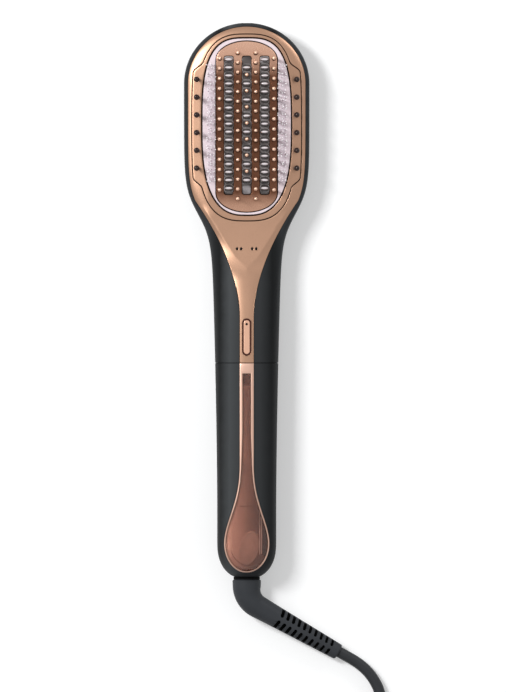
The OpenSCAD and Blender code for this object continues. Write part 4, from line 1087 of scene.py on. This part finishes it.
def make_bristles():
    """On each side 15 tufts of 3 by 3 fine strands, each a little out of line, on a low strip."""
    shift, strip_half_l, height = 1.8, 32.0, 9.2
    for side, node in ((-1, "side_bristles_left"), (1, "side_bristles_right")):
        b = Builder()
        x0, x1 = sorted((side * 17.2, side * 21.0))
        mid = FIELD_Y + shift
        prism(b, bar_outline(x0, x1, mid - strip_half_l, mid + strip_half_l, 0.6, 120), ISLAND_TOP - 0.6,
              ISLAND_TOP + 0.12, 0.1)
        for j, y in enumerate(rows(15, 4.35, shift)):
            for i in range(9):
                u, line = (i % 3) / 2, i // 3
                r1, r2, r3, r4 = (hash01(i, j, side, k) for k in (1, 2, 3, 4))
                foot_x = side * (17.5 + u * 3.2 + (r1 - 0.5) * 0.7)
                foot_y = y + (line - 1.0) * 1.05 + (r2 - 0.5) * 0.7
                lean = (side * (u * 0.05 + (r3 - 0.5) * 0.10), (r4 - 0.5) * 0.14)
                h = height + r1 + r4 - 1.0
                profile = [(0.24, 0), (0.22, h * 0.5), (0.20, h - 0.5), (0.30, h - 0.3), (0.30, h - 0.12), (0.12, h)]
                b.lathe((foot_x, foot_y, ISLAND_TOP), profile, 8, lean)
        link(b.make("fine_" + node), "body", "nylon", (node,))


def make_lenses():
    b = Builder()
    for x in LENS_XS:
        z = frame_z(x, LENS_Y)
        b.lathe((x, LENS_Y, z - 2.0), [(0.66, 0), (0.66, 1.75), (0.6, 1.88), (0.4, 1.97), (0.02, 2.0)], 24)
    link(b.make("status_lenses"), "body", "lens", ("indicator_lenses",))


def make_button():
    b = Builder()
    band(b, pill_outline(19.9, 4.8, BUTTON_Y, 160), pill_outline(18.5, 3.4, BUTTON_Y, 160), 28.9, 31.7, 0.1, 1)
    link(b.make("bezel"), "body", "dark_pins", ("button_bezel",), "bezel")
    b = Builder()
    line = pill_outline(BUTTON_LENGTH - 0.2, BUTTON_WIDTH - 0.2, BUTTON_Y, 160)
    prism(b, line, 28.2, BUTTON_TOP - 0.12, 0.3)
    obj = b.make("button")
    dot_y = BUTTON_Y + BUTTON_LENGTH / 2 - 2.3
    cut(obj, [turned("dot_hole", (0, dot_y, BUTTON_TOP - 1.2), [(0.66, 0), (0.66, 3)], 28)], 0.08, 2, 40)
    link(obj, "button", "rose_gold", ("power_button",), "button")
    b = Builder()
    b.lathe((0, dot_y, BUTTON_TOP - 1.3), [(0.63, 0), (0.63, 1.0), (0.4, 1.1), (0.02, 1.12)], 24)
    link(b.make("button_dot"), "button", "dark_pins", ("button_lens",), "lens")


# ---- tank
BULB_IN_A, BULB_IN_B = BULB_A - RIM_BULB, BULB_B - RIM_BULB    # the window's bulb, inside its rim


def window_w(y):
    if y < BULB_Y:
        return BULB_IN_A * arch((BULB_Y - y) / BULB_IN_B, 2)
    return trim_w(y) - mix(RIM_STRIP, RIM_BULB, clamp01((BULB_TOP + 16 - y) / 24))


def bulb_ys(*angles):
    """Stations down the bulb's round end, at degrees below its widest line."""
    return [BULB_Y - BULB_IN_B * v for v in sines(angles)]


def make_trim():
    outer, inner = [], []
    top_out, mitre = LOWER_HIGH, 20.0
    for k in range(8):
        f = k / 8
        outer.append((mix(3.8, -3.8, f), top_out))
        inner.append((mix(window_w(WINDOW_TOP), -window_w(WINDOW_TOP), f), WINDOW_TOP))
    side_o, side_i = [], []
    for y in spaced(WINDOW_TOP, BULB_Y, 130):
        yo = y + (top_out - WINDOW_TOP) * clamp01(1 - (WINDOW_TOP - y) / mitre)
        side_o.append((-trim_w(yo), yo))
        side_i.append((-window_w(y), y))
    for a in range(3, 91, 3):
        side_o.append(oval(0, BULB_Y, -BULB_A, -BULB_B, math.radians(a)))
        side_i.append(oval(0, BULB_Y, -BULB_IN_A, -BULB_IN_B, math.radians(a)))
    outer += side_o + mirrored(side_o[:-1])
    inner += side_i + mirrored(side_i[:-1])
    b = Builder()
    band(b, outer, inner, lambda x, y: front_z(x, y) - 2.4, front_z, 0.22, 2)
    link(b.make("window_rim"), "tank", "rose_gold", ("tank_trim",), "rim_gold")


def make_window():
    b = Builder()
    ys = bulb_ys(89, 86, 82, 78, 73, 68, 62, 56, 50, 44, 38, 32, 26, 20, 13, 6) + spaced(BULB_Y, WINDOW_TOP, 110)
    across, drop, t = 28, 0.45, 1.4
    rings = []
    for y in ys:
        w = max(0.3, window_w(y) - 0.08)
        xs = [w * math.sin(math.pi / 2 * mix(-1, 1, k / across)) for k in range(across + 1)]
        upper = [(x, y, front_z(x, y) - drop) for x in xs]
        rings.append(b.ring(upper + [(x, y, front_z(x, y) - drop - t) for x in reversed(xs)]))
    b.loft(rings)
    obj = b.make("window")
    soften(obj, 0.15, 2, 60)
    link(obj, "tank", "brown_window", ("tank_window",))


def lining_z(x, y):
    return front_z(x, y) - 2.2


def make_lining():
    """Lining close under the window, what shows through it: its colour, light on the left and dark on the right, is
    painted light and shade.
    """
    b = Builder()
    ys = bulb_ys(88, 82, 74, 65, 55, 44, 32, 20, 8) + spaced(BULB_Y, WINDOW_TOP - 0.2, 60)
    rings = []
    for y in ys:
        w = max(0.4, window_w(y) + 0.25)
        xs = [mix(-w, w, k / 16) for k in range(17)]
        rings.append(b.ring([(x, y, lining_z(x, y)) for x in xs]
                            + [(x, y, lining_z(x, y) - 0.35) for x in reversed(xs)]))
    b.loft(rings)
    link(b.make("tank_lining"), "tank", "clear_tank", (), "lining")


def relief(name, line, height, mat, edge):
    """Low patch that stands on the lining, inside a closed line."""
    b = Builder()
    n = len(line)
    cx, cy = sum(p[0] for p in line) / n, sum(p[1] for p in line) / n
    rings = [b.over(line, lining_z, -0.2)]
    for inward, down in ROUNDING:
        rings.append(b.over(offset(line, inward * edge), lining_z, height * (1 - down)))
    for f in (0.3, 0.6, 0.85):
        rings.append(b.over([(mix(x, cx, f), mix(y, cy, f)) for x, y in offset(line, edge)], lining_z, height))
    b.loft(rings)
    link(b.make(name), "tank", "clear_tank", (), mat)


def make_tank_details():
    """What the window shows of the tank: two ribs drawn lighter, a painted highlight; a very dark patch on the right;
    a step and a band at the window's top drawn darker, painted shade; and the vessel's round end.
    """
    for name, box, height, mat, edge in (
            ("rib_inner", (6.7, 7.15, -138.0, -113.0, 0.2, 80), 0.5, "liner_painted_light", 0.1),
            ("rib_outer", (7.6, 8.05, -137.5, -112.0, 0.2, 80), 0.5, "liner_painted_light", 0.1),
            ("pocket", (8.35, 10.7, -138.5, -119.5, 0.9, 80), 0.25, "pocket", 0.3),
            ("step", (-3.6, 2.6, -111.9, -111.4, 0.2, 60), 0.2, "liner_painted_shade", 0.15),
            ("head", (-2.1, 2.1, -46.2, -40.6, 0.5, 60), 0.2, "liner_painted_shade", 0.3)):
        relief("vessel_" + name, bar_outline(*box), height, mat, edge)
    egg, egg_y, tilt = [], -134.2, 0.16
    for a in turns(72):
        x, y = oval(1.2, egg_y, 5.3, 8.9, a)
        egg.append((x + tilt * (y - egg_y), y))
    relief("vessel_sump", egg, 0.3, "liner", 1.6)
    outer, inner = [], []
    for k in range(37):
        f = k / 36
        a = math.radians(mix(186, 318, f))
        t = 0.05 + 0.75 * math.sin(math.pi * f) ** 0.8
        outer.append(oval(0.9, -133.2, 9.6, 10.9, a))
        inner.append(oval(0.9, -133.2, 9.6 - t, 10.9 - t, a))
    b = Builder()
    rings = []
    for (ox, oy), (ix, iy) in zip(outer, inner):
        mx, my = (ox + ix) / 2, (oy + iy) / 2
        rings.append(b.ring([(ox, oy, lining_z(ox, oy) - 0.1), (mx, my, lining_z(mx, my) + 0.3),
                             (ix, iy, lining_z(ix, iy) - 0.1), (mx, my, lining_z(mx, my) - 0.2)]))
    b.loft(rings)
    link(b.make("vessel_end"), "tank", "clear_tank", (), "liner_arc")


# ---- elbow, tie and plug
BEND_ANGLE, BEND_R, ELBOW_R, BARREL_R, TIP_R = math.radians(60.6), 12.0, 6.3, 7.75, 4.35
BEND_Y, RELIEF_LENGTH, SLOT_START, SLOT_START_R = -162.9, 57.4, 19.6, 5.7
TANGENT, BEND_ARC = BEND_R * math.tan(BEND_ANGLE / 2), BEND_R * BEND_ANGLE
PLAIN_LENGTH, SLOTTED_LENGTH = SLOT_START - TANGENT, RELIEF_LENGTH - SLOT_START
SLOTS_AT, ELBOW_END = BEND_ARC + PLAIN_LENGTH, BEND_ARC + PLAIN_LENGTH + SLOTTED_LENGTH
TILT = Matrix.Translation(Vector((0, 0, SWIVEL_Z)) * MM) @ Matrix.Rotation(math.radians(DROOP), 4, "Y")


def elbow_frame(s):
    """Centre and heading of the elbow at s mm past its bend's start, before its droop."""
    if s <= 0:
        return Vector((0, BEND_Y + TANGENT - s, 0)), 0.0
    if s < BEND_ARC:
        a = s / BEND_R
        return Vector((BEND_R - BEND_R * math.cos(a), BEND_Y + TANGENT - BEND_R * math.sin(a), 0)), a
    d = s - BEND_ARC + TANGENT
    return Vector((d * math.sin(BEND_ANGLE), BEND_Y - d * math.cos(BEND_ANGLE), 0)), BEND_ANGLE


def elbow_ring(b, s, r):
    c, a = elbow_frame(s)
    across = Vector((math.cos(a), math.sin(a), 0))
    turn = math.radians(DROOP)
    pts = []
    for q in turns(48):
        p = c + across * (r * math.cos(q)) + Vector((0, 0, r * math.sin(q)))
        pts.append((p.x * math.cos(turn) + p.z * math.sin(turn), p.y,
                    SWIVEL_Z - p.x * math.sin(turn) + p.z * math.cos(turn)))
    return b.ring(pts)


def make_elbow():
    """Neck in the handle's end, barrel, bend, arm and slotted strain relief."""
    b = Builder()
    start, full_at, bend_r = BEND_Y + TANGENT - TAIL_Y, 2.3, 7.6
    stations = [(start + ds, r) for ds, r in ((-5.9, 0.4), (-5.9, 4.7), (-5.6, 5.0), (1.45, 5.0), (1.5, 6.8),
                                              (1.65, 7.2), (1.9, 7.42), (full_at, BARREL_R))]
    stations += [(s, mix(BARREL_R, bend_r, (s - start - full_at) / (-start - full_at)))
                 for s in spaced(start + 3.0, 0.0, 8)]
    for at, length, used, r0, r1, n in ((0.0, BEND_ARC, BEND_ARC, bend_r, ELBOW_R, 18),
                                        (BEND_ARC, PLAIN_LENGTH, PLAIN_LENGTH, ELBOW_R, SLOT_START_R, 10),
                                        (SLOTS_AT, SLOTTED_LENGTH, SLOTTED_LENGTH - 0.7, SLOT_START_R, TIP_R, 40)):
        stations += [(at + s, mix(r0, r1, s / length)) for s in spaced(0.0, used, n)[1:]]
    stations += [(ELBOW_END - 0.35, TIP_R - 0.15), (ELBOW_END - 0.1, TIP_R - 0.4), (ELBOW_END, TIP_R - 0.75),
                 (ELBOW_END, 0.4)]
    b.loft([elbow_ring(b, s, r) for s, r in stations])
    obj = b.make("elbow")
    cutters = []
    along = Vector((math.sin(BEND_ANGLE), -math.cos(BEND_ANGLE), 0))
    away = Vector((math.cos(BEND_ANGLE), math.sin(BEND_ANGLE), 0))
    for i in range(10):
        d = SLOT_START + 0.8 + i * 3.48
        r = mix(SLOT_START_R, TIP_R, i / 10)
        wide, deep = mix(1.95, 1.5, i / 9), r
        for s in (-1, 1):
            at = Vector((0, BEND_Y, 0)) + along * d + away * (s * (r * 0.17 + deep / 2))
            turn = math.atan2(away.y, away.x) + 0.15 * s
            for level in (-1, 1):
                line = bar_outline(-deep / 2, deep / 2, -wide / 2, wide / 2, wide * 0.45, 36)
                slot = block("slot%d_%d_%d" % (i, s + 1, level + 1), line, *sorted((level * 0.35, level * r * 1.5)))
                slot.data.transform(TILT @ Matrix.Translation(at * MM) @ Matrix.Rotation(turn, 4, "Z"))
                cutters.append(slot)
    cut(obj, cutters, 0.1, 2, 40)
    link(obj, "swivel", "elbow_rubber", ("cord_elbow",))


def make_elbow_slot_shade():
    """Dark flat sheet that closes the view through the slots: painted shade on their floors."""
    b = Builder()
    rings = []
    for i in range(24):
        s = mix(SLOTS_AT - 1.5, ELBOW_END - 2.0, i / 23)
        half = mix(SLOT_START_R, TIP_R, (s - SLOTS_AT) / SLOTTED_LENGTH) - 0.6
        c, a = elbow_frame(s)
        across = Vector((math.cos(a), math.sin(a), 0))
        rings.append(b.ring([tuple(c + across * (q * half) + Vector((0, 0, h))) for q, h in
                             ((-1, -0.45), (1, -0.45), (1, 0.45), (-1, 0.45))]))
    b.loft(rings)
    core = b.make("elbow_slot_shade", False)
    core.data.transform(TILT)
    link(core, "swivel", "cord_rubber", (), "gap")


def make_swivel_collar():
    """Dark ring between the handle's end and the barrel: painted shade of the gap there."""
    b = Builder()
    b.lathe((0, 0, 0), [(5.1, 0), (6.9, 0), (7.1, 0.12), (7.15, 0.3), (7.15, 1.35), (5.1, 1.35)], 64, loop=True)
    collar = b.make("swivel_collar")
    at = Vector((0, TAIL_Y - 0.12, SWIVEL_Z)) * MM
    collar.data.transform(Matrix.Translation(at) @ Matrix.Rotation(math.pi / 2, 4, "X"))
    link(collar, "swivel", "chassis", (), "gap")


def make_tie():
    """Hook-and-loop strap round the coil, its end lapped over."""
    b = Builder()
    mid_y, half, low, high, t = COIL_Y + (COIL_IN + COIL_OUT) / 2, 14.4, 0.25, 13.75, 0.8
    cz, hz = (low + high) / 2, (high - low) / 2
    path = []
    for k in range(61):
        a = math.pi * (1.62 - 2.32 * k / 60)
        lift = 0.85 * clamp01((k - 51) / 5)
        c, s = math.cos(a), math.sin(a)
        path.append((mid_y + (half + lift) * signed(c, 0.55), cz + (hz + (lift if s > 0 else 0)) * signed(s, 0.45)))
    rings = []
    for k, (y, z) in enumerate(path):
        (ay, az), (by, bz) = path[max(0, k - 1)], path[min(60, k + 1)]
        size = math.hypot(by - ay, bz - az) or 1.0
        ny, nz = (bz - az) / size, -(by - ay) / size
        w = 4.0 - (0.9 if k > 58 else 0.0)
        under = [(-w, 0.15), (-w + 0.2, 0.0), (w - 0.2, 0.0), (w, 0.15)]
        pts = []
        for x, d in under + [(x, t - d) for x, d in reversed(under)]:
            pts.append((COIL_X + x, y + ny * (d - t / 2), max(0.05, z + nz * (d - t / 2))))
        rings.append(b.ring(pts))
    b.loft(rings)
    return link(b.make("strap"), "swivel", "cord_rubber", ("cord_tie",), "strap")


def make_plug():
    """Two-pole plug: a ribbed sleeve, a grip with finger grooves and two pins with insulated roots."""
    b = Builder()
    x0, y0, z0 = PLUG_AT
    # along the plug, half width, half height and squareness
    sections = [(0.0, 3.3, 3.3, 2.0), (0.4, 3.8, 3.8, 2.0)]
    for k in range(5):
        y, r = 1.0 + k * 2.2, 3.9 + k * 0.33
        sections += [(y + dy, r + dr, r + dr, 2.0) for dy, dr in ((0, 0), (1.2, 0.1), (1.35, -0.55), (2.05, -0.5))]
    sections += [(12.2, 5.8, 5.2, 2.2), (13.2, 7.6, 6.1, 2.6), (15.5, 9.8, 6.5, 3.0), (18.5, 11.6, 6.7, 3.4)]
    ridge, groove = (12.6, 6.75, 3.6), (12.25, 6.5, 3.6)
    for k in range(6):
        y = 20.0 + k * 2.0
        sections += [(y, *ridge), (y + 0.4, *groove), (y + 0.9, *groove), (y + 1.3, *ridge)]
    sections += [(33.5, *ridge), (36.4, 11.7, 6.7, 3.8), (37.4, 11.3, 6.4, 3.8), (37.85, 10.7, 5.9, 3.8),
                 (38.0, 10.0, 5.3, 3.8)]
    rings = []
    for y, w, h, n in sections:
        rings.append(b.ring([(x0 + w * signed(math.cos(a), 2 / n), y0 + y, z0 + h * signed(math.sin(a), 2 / n))
                             for a in turns(64)]))
    b.loft(rings)
    pieces = [link(b.make("plug"), "swivel", "cord_rubber", ("plug_body",))]
    pin_x, root, sleeve_length = 9.5, 37.9, 9.5
    for name, slot, z, profile in (
            ("plug_pins", "steel", root + sleeve_length,
             [(1.86, 0), (2.0, 0.25), (2.0, 7.9), (1.85, 8.6), (1.4, 9.3), (0.9, 9.55), (0.02, 9.6)]),
            ("plug_sleeves", "cord_rubber", root, [(2.35, 0), (2.3, 0.3), (1.97, 0.45), (1.95, 9.4), (1.9, 9.6)])):
        b = Builder()
        for s in (-1, 1):
            b.lathe((s * pin_x, 0, z), profile, 32)
        pair = b.make(name)
        pair.data.transform(turn_to_y(PLUG_AT))
        pieces.append(link(pair, "swivel", slot, ("plug_body",)))
    return pieces


for make in (make_rear_shell, make_front_shell, make_handle_base, make_tank_cover, make_seam_shade, make_frame,
             make_ring, make_carrier, make_plate, make_metal_pins, make_guard_pins, make_combs, make_bristles,
             make_lenses, make_button, make_trim, make_window, make_lining, make_tank_details, make_elbow,
             make_elbow_slot_shade, make_swivel_collar):
    make()
strap = make_tie()
plug_pieces = make_plug()


# ---- floor and light
FLOOR_LIFT = 0.30


def seen_rays(nt):
    """1 on the rays that show the background: camera, glossy and transmission."""
    rays = add(nt, "LightPath").outputs
    direct = calculated(nt, "MAXIMUM", rays["Is Camera Ray"], rays["Is Glossy Ray"])
    return calculated(nt, "MAXIMUM", direct, rays["Is Transmission Ray"])


def make_stage():
    bm = bmesh.new()
    for x, y in ((-40, -40), (40, -40), (40, 40), (-40, 40)):
        bm.verts.new((x, y, -0.0002))
    bm.faces.new(bm.verts)
    data = bpy.data.meshes.new("floor")
    bm.to_mesh(data)
    bm.free()
    floor = bpy.data.objects.new("floor", data)
    m, nt, b = new_material("floor")
    b.inputs["Base Color"].default_value = (0.755, 0.76, 0.765, 1.0)
    b.inputs["Roughness"].default_value = 0.9
    b.inputs["Specular IOR Level"].default_value = 0.0
    lift = add(nt, "Emission", Color=(1.0, 1.0, 1.0, 1.0))
    away = add(nt, "VectorMath", operation="LENGTH")
    nt.links.new(add(nt, "TexCoord").outputs["Object"], away.inputs[0])
    glow = spread(nt, away.outputs["Value"], FLOOR_LIFT, 0.75, 0.45, 1.3)
    nt.links.new(calculated(nt, "MULTIPLY", seen_rays(nt), glow), lift.inputs["Strength"])
    both = add(nt, "AddShader")
    nt.links.new(b.outputs[0], both.inputs[0])
    nt.links.new(lift.outputs[0], both.inputs[1])
    nt.links.new(both.outputs[0], node_of(nt, "OUTPUT_MATERIAL").inputs[0])
    data.materials.append(m)
    scene.collection.objects.link(floor)


def area_light(name, at, towards, size, power, size_y=None):
    data = bpy.data.lights.new(name, "AREA")
    data.shape = "RECTANGLE"
    data.size = size
    data.size_y = size_y or size
    data.energy = power
    obj = bpy.data.objects.new(name, data)
    obj.location = at
    obj.rotation_euler = (Vector(towards) - Vector(at)).to_track_quat("-Z", "Y").to_euler()
    scene.collection.objects.link(obj)


def make_light():
    world = bpy.data.worlds.new("world")
    scene.world = world
    world.use_nodes = True
    nt = world.node_tree
    bg = nt.nodes["Background"]
    bg.inputs["Color"].default_value = (1.0, 1.0, 1.0, 1.0)
    nt.links.new(spread(nt, seen_rays(nt), 0.42, 1.0), bg.inputs["Strength"])
    area_light("key", (-0.90, 0.52, 1.56), (0.0, 0.0, 0.0), 0.30, 19.0, 0.5)
    area_light("softbox", (-1.05, 0.48, 1.28), (0.0, 0.0, 0.0), 0.7, 7.0, 1.1)
    area_light("fill", (1.2, 1.2, 1.0), (0.0, 0.0, 0.0), 0.8, 7.5, 0.8)


make_stage()
make_light()
scene.view_settings.view_transform = "Standard"
